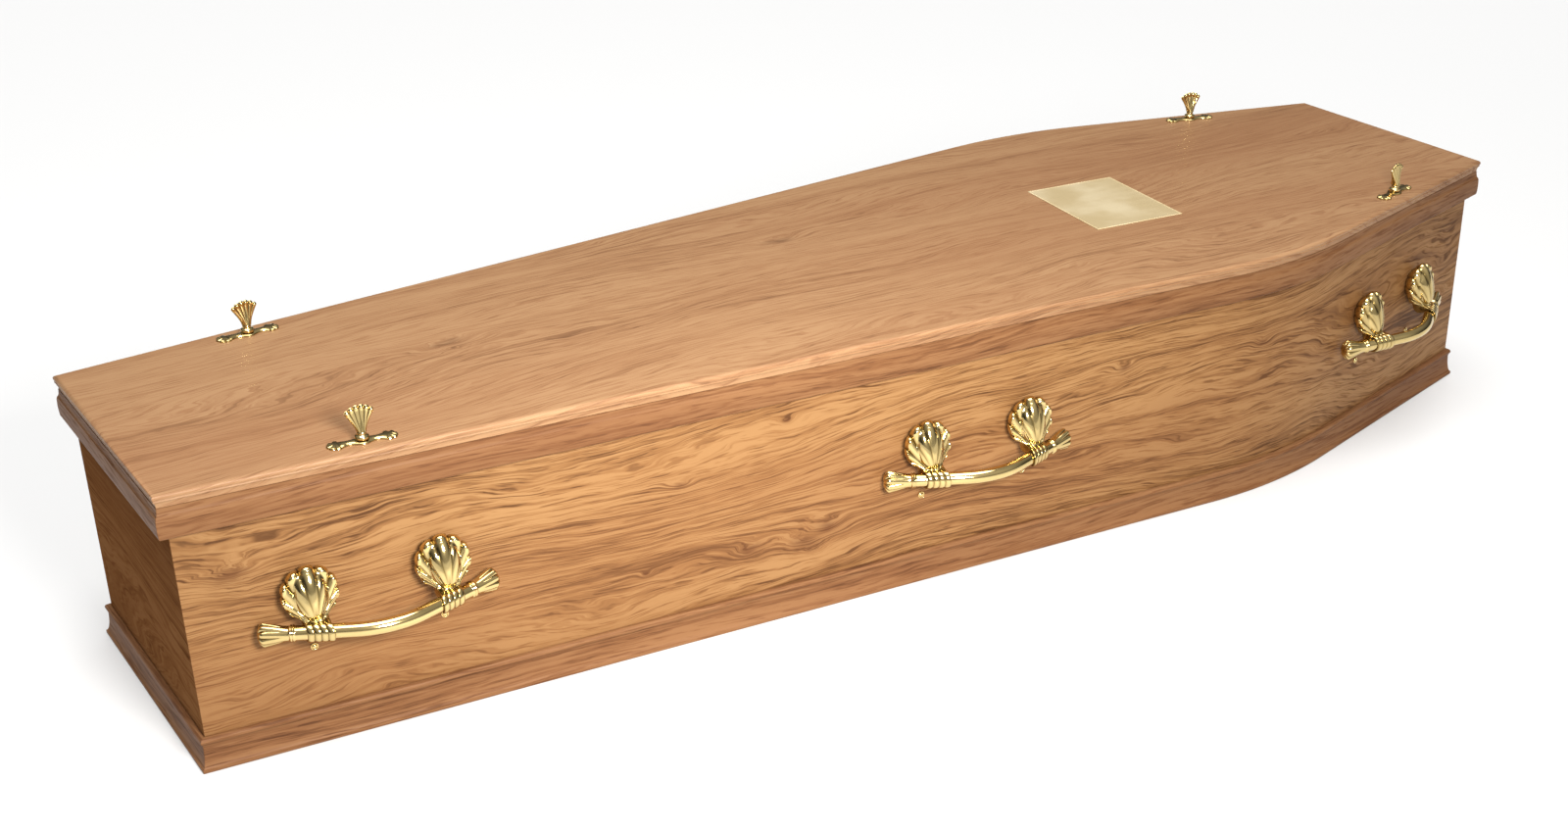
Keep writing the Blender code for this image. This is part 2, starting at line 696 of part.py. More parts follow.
def build_wreath_holders():
    """Four wreath holders, one near each corner of the lid."""
    plate = mesh_from("holder_plate", build_plate)
    fan = mesh_from("holder_fan", build_fan)
    for side, sign in (("left", 1), ("right", -1)):
        for place, (x, y, z), turn in holder_places():
            angle = turn if sign > 0 else math.pi - turn
            frame = add_empty(f"wreath_holder_{side}_{place}", (x, y * sign, z), angle)
            add_object(f"holder_plate_{side}_{place}", plate, BRASS, frame)
            add_object(f"holder_fan_{side}_{place}", fan, BRASS, frame)


def build_nameplate():
    """The bare nameplate on the lid over the chest."""
    top = BOX_HEIGHT + GAP + LID_THICKNESS
    mesh = bpy.data.meshes.new("nameplate")
    shape = bmesh.new()
    bmesh.ops.create_cube(shape, size=1.0)
    bmesh.ops.scale(shape, vec=(NAMEPLATE_ALONG, NAMEPLATE_ACROSS, NAMEPLATE_THICKNESS), verts=shape.verts)
    shape.to_mesh(mesh)
    shape.free()
    plate = add_object("nameplate", mesh, PALE_BRASS)
    plate.location = (
        BOX_LENGTH / 2 - NAMEPLATE_FROM_HEAD,
        NAMEPLATE_OFF_CENTRE,
        top + GAP + NAMEPLATE_THICKNESS / 2,
    )
    plate.rotation_euler = (0.0, 0.0, NAMEPLATE_TURN)
    bevel = plate.modifiers.new("soft_edge", "BEVEL")
    bevel.width = NAMEPLATE_BEVEL
    bevel.segments = 1


clear_scene()
COFFIN = new_collection("wooden_coffin")
build_box()
four_mouldings("base_moulding", base_profile(), OAK_TRIM)
build_lid()
build_handles()
build_wreath_holders()
build_nameplate()
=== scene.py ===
"""Looks of a traditional wooden coffin: oak boards and mouldings, brass handles and wreath holders."""
import logging
import math
from dataclasses import dataclass, field
from enum import Enum

import bmesh
import bpy
import numpy as np
from mathutils import Matrix, Vector


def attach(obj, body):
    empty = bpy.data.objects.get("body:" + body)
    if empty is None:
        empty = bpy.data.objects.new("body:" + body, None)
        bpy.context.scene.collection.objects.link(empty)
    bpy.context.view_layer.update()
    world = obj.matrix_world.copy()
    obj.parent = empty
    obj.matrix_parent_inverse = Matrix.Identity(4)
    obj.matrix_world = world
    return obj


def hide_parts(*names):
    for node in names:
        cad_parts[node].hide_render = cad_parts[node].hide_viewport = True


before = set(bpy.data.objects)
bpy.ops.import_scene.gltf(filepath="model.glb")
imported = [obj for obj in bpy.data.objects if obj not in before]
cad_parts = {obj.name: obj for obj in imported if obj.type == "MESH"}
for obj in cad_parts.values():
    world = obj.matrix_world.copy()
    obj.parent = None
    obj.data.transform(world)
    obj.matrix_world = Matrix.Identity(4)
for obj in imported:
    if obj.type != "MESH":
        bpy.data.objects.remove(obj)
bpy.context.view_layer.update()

LOG = logging.getLogger("coffin")
PHOTO_WIDTH = 1600.0
PHOTO_HEIGHT = 848.0
GAP = 0.0003
TAU = 2.0 * math.pi


class Grain(Enum):
    """Where a wood pattern starts, so that no two kinds of board share a figure."""

    LID = 3.1
    LEFT = 11.7
    RIGHT = 24.3
    FOOT = 37.9
    HEAD = 45.2
    TRIM = 58.6
    RAW = 71.4


class Side(Enum):
    """The two long sides, with the sign of their Y."""

    LEFT = -1.0
    RIGHT = 1.0


class Value:
    """A shader socket that carries a number, with Python's operators as Math nodes."""

    def __init__(self, graph: "Graph", socket: bpy.types.NodeSocket) -> None:
        """Wrap a socket.

        Args:
            graph: The material's graph, where new Math nodes go.
            socket: The output socket to wrap.
        """
        self.graph = graph
        self.socket = socket

    def maths(self, operation: str, *others: "Value | float", clamp: bool = False) -> "Value":
        """One Math node on this value.

        Args:
            operation: The Math node's operation.
            others: The further operands, values or numbers.
            clamp: Whether the result is held between 0 and 1.

        Returns:
            The node's result.
        """
        settings = {"operation": operation, "use_clamp": clamp}
        return self.graph.number("ShaderNodeMath", settings, {i: v for i, v in enumerate((self, *others))})

    def __add__(self, other: "Value | float") -> "Value":
        """Sum."""
        return self.maths("ADD", other)

    def __radd__(self, other: float) -> "Value":
        """Sum with a number on the left."""
        return self.maths("ADD", other)

    def __sub__(self, other: "Value | float") -> "Value":
        """Difference."""
        return self.maths("SUBTRACT", other)

    def __rsub__(self, other: float) -> "Value":
        """Difference from a number."""
        return self.graph.number("ShaderNodeMath", {"operation": "SUBTRACT"}, {0: other, 1: self})

    def __mul__(self, other: "Value | float") -> "Value":
        """Product."""
        return self.maths("MULTIPLY", other)

    def __rmul__(self, other: float) -> "Value":
        """Product with a number on the left."""
        return self.maths("MULTIPLY", other)

    def __truediv__(self, other: "Value | float") -> "Value":
        """Quotient."""
        return self.maths("DIVIDE", other)

    def step_up(self, low: float, high: float) -> "Value":
        """Smooth rise from 0 at `low` to 1 at `high`.

        Args:
            low: Where the rise starts.
            high: Where it ends.

        Returns:
            The smooth step.
        """
        inputs = {"Value": self, "From Min": low, "From Max": high}
        return self.graph.number("ShaderNodeMapRange", {"interpolation_type": "SMOOTHSTEP"}, inputs)

    def fade(self) -> "Value":
        """e to the power of minus this value."""
        return (self * -1.0).maths("EXPONENT")


@dataclass(frozen=True)
class Layer:
    """One layer of the oak's figure: noise stretched along the grain.

    Attributes:
        seed: Its place in the noise, past the board's own.
        along: Features per metre along the grain.
        across: Features per metre across it.
        detail: Octaves of the noise.
        roughness: Weight of the finer octaves.
        weight: How much it darkens the wood.
        swing: How much more it darkens where the figure is strong.
        step: Where a smooth step over the noise starts and ends.
    """

    seed: float
    along: float
    across: float
    detail: float = 2.0
    roughness: float = 0.5
    weight: float = 0.0
    swing: float = 0.0
    step: tuple[float, float] = (0.0, 1.0)


SLOW = Layer(0.0, 0.9, 3.4)
WAVES = Layer(7.0, 4.2, 15.0, 3.0, 0.55)
RIPPLE = Layer(13.0, 24.0, 80.0)
BANDS = Layer(19.0, 0.8, 26.0, weight=1.2)
RINGS = Layer(23.0, 1.8, 105.0, 3.0, 0.6, 0.10, 0.30, (0.46, 0.66))
LINES = Layer(27.0, 6.0, 210.0, 3.0, 0.62, 0.34, 0.20, (0.43, 0.64))
FIBRES = Layer(29.0, 16.0, 460.0, 3.0, 0.6, 1.5)
PORES = Layer(37.0, 26.0, 480.0, weight=0.46, step=(0.52, 0.64))
STRENGTH = Layer(41.0, 1.8, 8.0, step=(0.36, 0.64))
BLUSH = Layer(43.0, 1.0, 5.0, weight=0.40, step=(0.42, 0.70))


class Graph:
    """A node tree, of a material or of the world."""

    def __init__(self, tree: bpy.types.NodeTree) -> None:
        """Wrap a node tree."""
        self.tree = tree

    def node(self, kind: str, settings: dict, inputs: dict) -> bpy.types.Node:
        """Add a node, set it up, then fill its sockets.

        Args:
            kind: The node's type.
            settings: Attributes to set first, such as an operation.
            inputs: Socket names or numbers with the values or links that they take.

        Returns:
            The node.
        """
        made = self.tree.nodes.new(kind)
        for key, value in settings.items():
            setattr(made, key, value)
        for key, value in inputs.items():
            self.feed(made.inputs[key], value)
        return made

    def feed(self, socket: bpy.types.NodeSocket,
             value: "Value | bpy.types.NodeSocket | float | tuple") -> None:
        """Give a socket a link or a plain value.

        Args:
            socket: The input socket.
            value: A wrapped value, a socket, a number or a tuple.
        """
        if isinstance(value, Value):
            self.tree.links.new(value.socket, socket)
        elif isinstance(value, bpy.types.NodeSocket):
            self.tree.links.new(value, socket)
        else:
            socket.default_value = value

    def number(self, kind: str, settings: dict, inputs: dict) -> Value:
        """Add a node and wrap its first output as a number."""
        return Value(self, self.node(kind, settings, inputs).outputs[0])

    def grain_noise(self, u: Value, v: Value, seed: float, layer: Layer) -> Value:
        """Noise stretched along the grain.

        Args:
            u: Place along the grain, in metres.
            v: Place across the grain, in metres.
            seed: Where in the noise the board's pattern lies.
            layer: The layer's own place, scale and octaves.

        Returns:
            A value around 0.5.
        """
        place = {0: u * layer.along, 1: v * layer.across, 2: seed + layer.seed}
        vector = self.node("ShaderNodeCombineXYZ", {}, place).outputs[0]
        inputs = {"Vector": vector, "Scale": 1.0, "Detail": layer.detail, "Roughness": layer.roughness}
        return self.number("ShaderNodeTexNoise", {"noise_dimensions": "3D"}, inputs)

    def cloud(self, place: bpy.types.NodeSocket, scale: float, detail: float = 2.0) -> Value:
        """Even noise around 0.5, with `scale` features a metre and `detail` octaves."""
        return self.number("ShaderNodeTexNoise", {}, {"Vector": place, "Scale": scale, "Detail": detail})

    def mix(self, factor: Value | float, first: object, second: object) -> bpy.types.NodeSocket:
        """Mix two colours.

        Args:
            factor: Share of the second colour.
            first: Colour tuple or socket.
            second: Colour tuple or socket.

        Returns:
            The mixed colour's socket.
        """
        inputs = {0: factor, 6: first, 7: second}
        return self.node("ShaderNodeMix", {"data_type": "RGBA"}, inputs).outputs[2]

    def ramp(self, factor: Value, stops: list[tuple[float, tuple]]) -> bpy.types.NodeSocket:
        """A colour ramp.

        Args:
            factor: The value that picks a colour.
            stops: Places from 0 to 1 with their colours.

        Returns:
            The colour's socket.
        """
        made = self.node("ShaderNodeValToRGB", {}, {0: factor})
        elements = made.color_ramp.elements
        while len(elements) < len(stops):
            elements.new(0.5)
        for element, (place, colour) in zip(elements, stops):
            element.position = place
            element.color = colour
        return made.outputs[0]


class Surface(Graph):
    """The node graph of one material, with a Principled shader at its end."""

    def __init__(self, name: str) -> None:
        """Start a material.

        Args:
            name: The material's name.
        """
        self.material = bpy.data.materials.new(name)
        self.material.use_nodes = True
        super().__init__(self.material.node_tree)
        self.shader = self.tree.nodes["Principled BSDF"]

    def relief(self) -> Value:
        """The piece's own relief, 0 in a hollow and 1 on a ridge."""
        return Value(self, self.node("ShaderNodeAttribute", {"attribute_name": "relief"}, {}).outputs["Fac"])

    def place(self) -> bpy.types.NodeSocket:
        """The place in the object, in metres."""
        return self.node("ShaderNodeTexCoord", {}, {}).outputs["Object"]

    def bump(self, height: Value, strength: float, distance: float) -> None:
        """Send a height to the shader's normal.

        Args:
            height: The height, 0 to 1.
            strength: The Bump node's strength.
            distance: What a height of 1 is worth, in metres.
        """
        inputs = {"Strength": strength, "Distance": distance, "Height": height}
        self.set(Normal=self.node("ShaderNodeBump", {}, inputs).outputs[0])

    def set(self, **values: object) -> None:
        """Fill the shader's sockets, underscores standing for spaces."""
        for key, value in values.items():
            self.feed(self.shader.inputs[key.replace("_", " ")], value)


def linear(red: int, green: int, blue: int) -> tuple[float, float, float, float]:
    """A screen colour, 0 to 255, as the linear colour that a shader takes."""
    def one(channel: int) -> float:
        """Undo the screen's curve for one channel."""
        share = channel / 255.0
        return share / 12.92 if share <= 0.04045 else ((share + 0.055) / 1.055) ** 2.4
    return (one(red), one(green), one(blue), 1.0)


@dataclass(frozen=True)
class Knot:
    """A knot in a board, which pushes the grain aside and has a dark heart.

    Attributes:
        u: Its place along the grain map, in metres.
        v: Its place across the grain map, in metres.
        size: Its half width across the grain, in metres.
        stretch: How many times longer than wide it is.
        ragged: How much the waves along and the ripple across fray its outline.
        reach: How fast its push on the grain fades.
        push: How far it pushes the grain, in its own sizes.
        heart: How fast its dark heart fades.
    """

    u: float
    v: float
    size: float
    stretch: float = 2.3
    ragged: tuple[float, float] = (2.2, 2.4)
    reach: float = 0.55
    push: float = 1.7
    heart: float = 2.6


@dataclass(frozen=True)
class OakFinish:
    """Printed oak under a satin lacquer.

    The place across the grain is bent by slow noise, by small waves and by the knots. Every layer of
    the figure is noise over that bent place, drawn out along the grain: broad bands, growth lines,
    fine fibres and short dark pores. So all of them follow the same flow.

    Attributes:
        name: The material's name.
        grain: Where its pattern starts.
        light, middle, dark: Tones of the ramp.
        stain, knot_tone: Tone of the broad stains and of the knots' hearts.
        wander: How far the slow noise bends the grain, in metres.
        wave_share: How far the small waves bend it, as a share of `wander`.
        ripple_size: How far the finest waves bend it, in metres.
        contrast: Strength of the whole figure.
        ground: Darkness of the wood between its figure.
        middle_at: Darkness at which the ramp reaches the middle tone.
        knot_depth: Strength of the knots' hearts.
        gloss: Roughness of the lacquer.
        dulling: What the fibres and the pores add to the roughness.
        sheen: The shader's specular level.
        bump, pore_depth: Strength of the bump, and the pores' depth in metres.
        knots: The board's knots.
    """

    name: str
    grain: Grain
    light: tuple = linear(146, 109, 70)
    middle: tuple = linear(128, 90, 54)
    dark: tuple = linear(80, 51, 28)
    stain: tuple = linear(116, 75, 45)
    knot_tone: tuple = linear(74, 40, 22)
    wander: float = 0.34
    wave_share: float = 0.13
    ripple_size: float = 0.0030
    contrast: float = 1.0
    ground: float = 0.02
    middle_at: float = 0.38
    knot_depth: float = 0.60
    gloss: float = 0.44
    dulling: tuple[float, float] = (0.10, 0.12)
    sheen: float = 0.10
    bump: float = 0.25
    pore_depth: float = 0.00012
    knots: tuple[Knot, ...] = ()

    def flow(self, graph: Graph, u: Value, v: Value) -> tuple[Value, Value]:
        """The bent place across the grain, and the darkness of the knots.

        Round a knot the place is pushed by its size times e to the minus (distance squared times
        its reach), the distance being measured in the knot's own sizes.

        Args:
            graph: The material's graph.
            u: Place along the grain.
            v: Place across the grain.

        Returns:
            The bent place in metres, and a mask that is 1 in a knot's heart.
        """
        seed = self.grain.value
        slow, waves, ripple = [graph.grain_noise(u, v, seed, layer) - 0.5 for layer in (SLOW, WAVES, RIPPLE)]
        bent = v + slow * self.wander + waves * (self.wander * self.wave_share) + ripple * self.ripple_size
        heart = u * 0.0
        for knot in self.knots:
            along = (u - knot.u) / (knot.size * knot.stretch) + waves * knot.ragged[0]
            across = (v - knot.v) / knot.size + ripple * knot.ragged[1]
            spread = along * along + across * across
            bent = bent + (spread * knot.reach).fade() * (knot.size * knot.push)
            heart = heart.maths("MAXIMUM", (spread * knot.heart).fade())
        return bent, heart

    def build(self) -> bpy.types.Material:
        """Make the oak material.

        The wood's darkness is the sum of its layers times their weights, and picks a colour from a
        ramp of the light, the middle and the dark tone. Stains and knot hearts go over that.

        Returns:
            The material, which reads the piece's own grain map.
        """
        graph = Surface(self.name)
        seed = self.grain.value
        place = graph.node("ShaderNodeUVMap", {"uv_map": "grain"}, {}).outputs[0]
        parts = graph.node("ShaderNodeSeparateXYZ", {}, {0: place})
        u, v = Value(graph, parts.outputs[0]), Value(graph, parts.outputs[1])
        bent, heart = self.flow(graph, u, v)
        bands, fibres = [graph.grain_noise(u, bent, seed, layer) for layer in (BANDS, FIBRES)]
        rings, lines, pores = [graph.grain_noise(u, bent, seed, layer).step_up(*layer.step)
                               for layer in (RINGS, LINES, PORES)]
        strength, blush = [graph.grain_noise(u, v, seed, layer).step_up(*layer.step)
                           for layer in (STRENGTH, BLUSH)]
        depth = (bands - 0.5) * BANDS.weight + (fibres - 0.5) * FIBRES.weight + pores * PORES.weight
        for value, layer in ((rings, RINGS), (lines, LINES)):
            depth = depth + value * (strength * layer.swing + layer.weight)
        tones = [(0.0, self.light), (self.middle_at, self.middle), (1.0, self.dark)]
        colour = graph.ramp((depth * self.contrast).maths("ADD", self.ground, clamp=True), tones)
        colour = graph.mix(blush * BLUSH.weight, colour, self.stain)
        colour = graph.mix(heart * self.knot_depth, colour, self.knot_tone)
        graph.set(Base_Color=colour, Specular_IOR_Level=self.sheen)
        graph.set(Roughness=self.gloss + fibres * self.dulling[0] + pores * self.dulling[1])
        graph.bump((1.0 - pores) * 0.6 + fibres * 0.4, self.bump, self.pore_depth)
        return graph.material


@dataclass(frozen=True)
class BrassFinish:
    """Bright plated brass: light on the ridges, with a deep tone painted into the hollows as shade, and
    duller there.

    Attributes:
        name: The material's name.
        bright, deep: Tone of the ridges, and the painted shade tone of the hollows.
        shading_and_clouds: What the relief, as painted shade, and the clouds, as random tone, add to the
            brightness, and where it starts.
        gloss: Roughness on the ridges.
        dulling: What the hollows and the clouds add to the roughness.
        cloud_scale, scratch_scale: Clouds and scratches a metre.
        scratch_depth: Depth of the scratches, in metres.
    """

    name: str = "polished brass"
    bright: tuple = linear(226, 200, 138)
    deep: tuple = linear(126, 102, 52)
    shading_and_clouds: tuple[float, float, float] = (0.85, 0.30, -0.08)
    gloss: float = 0.12
    dulling: tuple[float, float] = (0.10, 0.08)
    cloud_scale: float = 55.0
    scratch_scale: float = 900.0
    scratch_depth: float = 0.0002

    def build(self) -> bpy.types.Material:
        """Make the brass material.

        Returns:
            The material, which reads each piece's own relief attribute.
        """
        graph = Surface(self.name)
        relief, place = graph.relief(), graph.place()
        cloud, scratch = graph.cloud(place, self.cloud_scale, 4.0), graph.cloud(place, self.scratch_scale)
        # Painted shade: where the relief is low, in flutes, hollows and on the backs, the colour goes to the
        # deep tone; the clouds add random tone.
        unshaded_and_clouds = (relief * self.shading_and_clouds[0] + cloud * self.shading_and_clouds[1]).maths("ADD", self.shading_and_clouds[2], clamp=True)
        colour = graph.mix(unshaded_and_clouds, self.deep, self.bright)
        graph.set(Base_Color=colour, Metallic=1.0)
        graph.set(Roughness=self.gloss + (1.0 - relief) * self.dulling[0] + (cloud - 0.5) * self.dulling[1])
        graph.bump(scratch * 0.3 + cloud * 0.7, 0.12, self.scratch_depth)
        return graph.material


@dataclass(frozen=True)
class NameplateFinish:
    """Pale brass sheet with a soft brushed gloss, faint cloudy wiping marks, and a warm darker tone painted
    as shade between the border's beads.
    """

    name: str = "nameplate brass"
    pale: tuple = linear(222, 204, 166)
    warm: tuple = linear(206, 184, 140)

    def build(self) -> bpy.types.Material:
        """Make the nameplate's material.

        Returns:
            The material, which reads Object coordinates and the relief.
        """
        graph = Surface(self.name)
        place = graph.place()
        cloud = graph.cloud(place, 14.0, 3.0)
        stretch = graph.node("ShaderNodeMapping", {}, {"Vector": place, "Scale": (30.0, 900.0, 30.0)})
        brushed = graph.cloud(stretch.outputs[0], 1.0)
        colour = graph.mix(cloud.step_up(0.35, 0.70), self.warm, self.pale)
        # Painted shade: the relief is high in the gaps between the border's beads, and there the colour goes
        # half way to the warm tone.
        colour = graph.mix(graph.relief() * 0.5, colour, self.warm)
        graph.set(Base_Color=colour, Metallic=0.35)
        graph.set(Roughness=0.24 + cloud * 0.16 + (brushed - 0.5) * 0.08)
        graph.bump(brushed, 0.06, 0.0001)
        return graph.material


@dataclass(frozen=True)
class FloorFinish:
    """Plain pale floor of the studio."""

    name: str = "studio floor"
    tone: tuple = (0.54, 0.54, 0.54, 1.0)
    glow: float = 0.20

    def build(self) -> bpy.types.Material:
        """Make the floor's material.

        Returns:
            The material.
        """
        graph = Surface(self.name)
        graph.set(Base_Color=self.tone, Roughness=0.9, Specular_IOR_Level=0.1)
        graph.set(Emission_Color=(1.0, 1.0, 1.0, 1.0), Emission_Strength=self.glow)
        return graph.material


@dataclass
class Shape:
    """Points and faces of one closed piece, gathered grid by grid, with a grain map and a relief.

    Attributes:
        points: Blocks of points, each (n, 3).
        faces: Lists of vertex numbers.
        maps: One (u, v) for each corner of each face.
        relief: One number a point, 0 in a hollow and 1 on a ridge.
    """

    points: list[np.ndarray] = field(default_factory=list)
    faces: list[list[int]] = field(default_factory=list)
    maps: list[np.ndarray] = field(default_factory=list)
    relief: list[np.ndarray] = field(default_factory=list)
    count: int = 0

    def add_points(self, grid: np.ndarray, relief: np.ndarray | None) -> np.ndarray:
        """Add a grid's points.

        Args:
            grid: Points, (rows, columns, 3).
            relief: Their relief, (rows, columns), or None for 1 all over.

        Returns:
            The vertex numbers, (rows, columns).
        """
        rows, columns = grid.shape[:2]
        numbers = np.arange(rows * columns).reshape(rows, columns) + self.count
        self.points.append(grid.reshape(-1, 3))
        flat = np.ones(rows * columns) if relief is None else np.broadcast_to(relief, (rows, columns)).ravel()
        self.relief.append(flat)
        self.count += rows * columns
        return numbers

    def add_quads(self, numbers: np.ndarray, chart: np.ndarray) -> None:
        """Join a grid of vertex numbers with quads.

        Args:
            numbers: Vertex numbers, (rows, columns).
            chart: The grain map at the same places, (rows, columns, 2).
        """
        corners = (np.s_[:-1, :-1], np.s_[:-1, 1:], np.s_[1:, 1:], np.s_[1:, :-1])
        quads = np.stack([numbers[c] for c in corners], axis=-1).reshape(-1, 4)
        charts = np.stack([chart[c] for c in corners], axis=-2).reshape(-1, 2)
        self.faces.extend(quads.tolist())
        self.maps.append(charts)

    def add_cap(self, ring: np.ndarray, chart: np.ndarray) -> None:
        """Close a ring of vertices with one flat face."""
        self.faces.append(ring.tolist())
        self.maps.append(chart)

    def tube(self, grid: np.ndarray, chart: np.ndarray, relief: np.ndarray | None = None) -> None:
        """A closed tube: each row is a ring, and the first and last rings are capped.

        Args:
            grid: Points, (rows, columns, 3).
            chart: Grain map with one more column than the grid, for the seam.
            relief: Relief of each point.
        """
        numbers = self.add_points(grid, relief)
        wrapped = np.concatenate([numbers, numbers[:, :1]], axis=1)
        self.add_quads(wrapped, chart)
        self.add_cap(numbers[0], chart[0, :-1])
        self.add_cap(numbers[-1], chart[-1, :-1])

    @classmethod
    def metal(cls, grid: np.ndarray, relief: np.ndarray | None = None) -> "Shape":
        """A closed tube with a relief and an empty grain map.

        Args:
            grid: Points, (rows, columns, 3).
            relief: Relief of each point, or None for 1 all over.

        Returns:
            The shape.
        """
        shape = cls()
        shape.tube(grid, np.zeros((grid.shape[0], grid.shape[1] + 1, 2)), relief)
        return shape

    def sheet(self, front: np.ndarray, back: np.ndarray, relief: np.ndarray | None = None) -> None:
        """A closed slab between two grids of the same size, joined round their borders.

        Args:
            front: Points of the front, (rows, columns, 3).
            back: Points of the back, (rows, columns, 3).
            relief: Relief of the front; the back is 0.5 all over.
        """
        rows, columns = front.shape[:2]
        flat = np.zeros((rows, columns, 2))
        first = self.add_points(front, relief)
        second = self.add_points(back, np.full((rows, columns), 0.5))
        self.add_quads(first, flat)
        self.add_quads(second, flat)
        rims = border_rows(first, second)
        self.add_quads(rims, np.zeros((2, rims.shape[1], 2)))

    def build(self, name: str, place: Matrix | None = None, sharp: float = 35.0) -> bpy.types.Object:
        """Make the object, its faces outward and its place in its mesh.

        Args:
            name: The piece's name.
            place: A transform that is applied to the points, or None.
            sharp: Angle in degrees past which an edge is sharp.

        Returns:
            The object, at the origin.
        """
        points = np.concatenate(self.points)
        if place is not None:
            turn = np.array(place.to_3x3())
            points = points @ turn.T + np.array(place.translation)
        mesh = bpy.data.meshes.new(name)
        mesh.from_pydata(points.tolist(), [], self.faces)
        layer = mesh.uv_layers.new(name="grain")
        layer.data.foreach_set("uv", np.concatenate(self.maps).astype(np.float32).ravel())
        attribute = mesh.attributes.new("relief", "FLOAT", "POINT")
        attribute.data.foreach_set("value", np.concatenate(self.relief).astype(np.float32))
        work = bmesh.new()
        work.from_mesh(mesh)
        bmesh.ops.remove_doubles(work, verts=work.verts, dist=0.000001)
        bmesh.ops.recalc_face_normals(work, faces=work.faces)
        work.to_mesh(mesh)
        work.free()
        mesh.shade_smooth()
        mesh.set_sharp_from_angle(angle=math.radians(sharp))
        thing = bpy.data.objects.new(name, mesh)
        bpy.context.scene.collection.objects.link(thing)
        return thing


def border_rows(first: np.ndarray, second: np.ndarray) -> np.ndarray:
    """The borders of two grids of vertex numbers as two closed rows, for the strip between them."""
    def ring(grid: np.ndarray) -> np.ndarray:
        """The border of one grid, from its first corner round to it again."""
        return np.concatenate([grid[0, :-1], grid[:-1, -1], grid[-1, :0:-1], grid[::-1, 0]])
    return np.stack([ring(first), ring(second)])


def dress(piece: bpy.types.Object, material: bpy.types.Material, slot: str, *nodes: str) -> None:
    """Give a piece its material, its body and the CAD nodes that it stands for.

    Args:
        piece: The finished piece.
        material: Its material.
        slot: The record's slot that its finish comes from; it is not used.
        nodes: The CAD nodes that it replaces.
    """
    piece.data.materials.append(material)
    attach(piece, "root")
    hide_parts(*nodes)
    LOG.info("%s: %d faces for %s", piece.name, len(piece.data.polygons), ", ".join(nodes))


def arc(centre: tuple[float, float], radii: tuple[float, float], start: float, end: float,
        steps: int) -> np.ndarray:
    """Part of an ellipse: centre plus radii times cosine and sine of an angle in degrees.

    Args:
        centre: Its centre.
        radii: Its two radii.
        start: First angle.
        end: Last angle.
        steps: Number of steps between them.

    Returns:
        Points, (steps + 1, 2).
    """
    angle = np.radians(np.linspace(start, end, steps + 1))
    return np.stack([centre[0] + radii[0] * np.cos(angle), centre[1] + radii[1] * np.sin(angle)], axis=-1)


def lengths(points: np.ndarray) -> np.ndarray:
    """Distance along a line of points, from its first one."""
    steps = np.linalg.norm(np.diff(points, axis=0), axis=-1)
    return np.concatenate([[0.0], np.cumsum(steps)])


def ridges(share: np.ndarray, count: float) -> np.ndarray:
    """Round ridges with sharp hollows between them: the root of the sine's size over each of them.

    Args:
        share: Place across the face, from -1 to 1.
        count: Number of ridges.

    Returns:
        0 in a hollow and 1 on a ridge.
    """
    return np.sqrt(np.abs(np.sin(np.pi * count * (share + 1.0) / 2.0)))


def smooth(value: np.ndarray) -> np.ndarray:
    """Smooth step of a value held between 0 and 1."""
    held = np.clip(value, 0.0, 1.0)
    return held * held * (3.0 - 2.0 * held)


def bell(value: np.ndarray, centre: float, width: float) -> np.ndarray:
    """Bell curve: e to the power of minus the square of the distance from the centre in widths."""
    return np.exp(-(((value - centre) / width) ** 2))


def quarter(value: np.ndarray, start: float, reach: float) -> np.ndarray:
    """1 up to the start, then down a quarter circle to 0 over the reach: root of 1 minus share squared."""
    return np.sqrt(1.0 - np.clip((value - start) / reach, 0.0, 1.0) ** 2)


def lifted(flat: np.ndarray, height: np.ndarray) -> np.ndarray:
    """Points of a plan with their heights as the third number, the heights being spread to fit."""
    return np.concatenate([flat, np.broadcast_to(height, flat.shape[:-1])[..., None]], axis=-1)


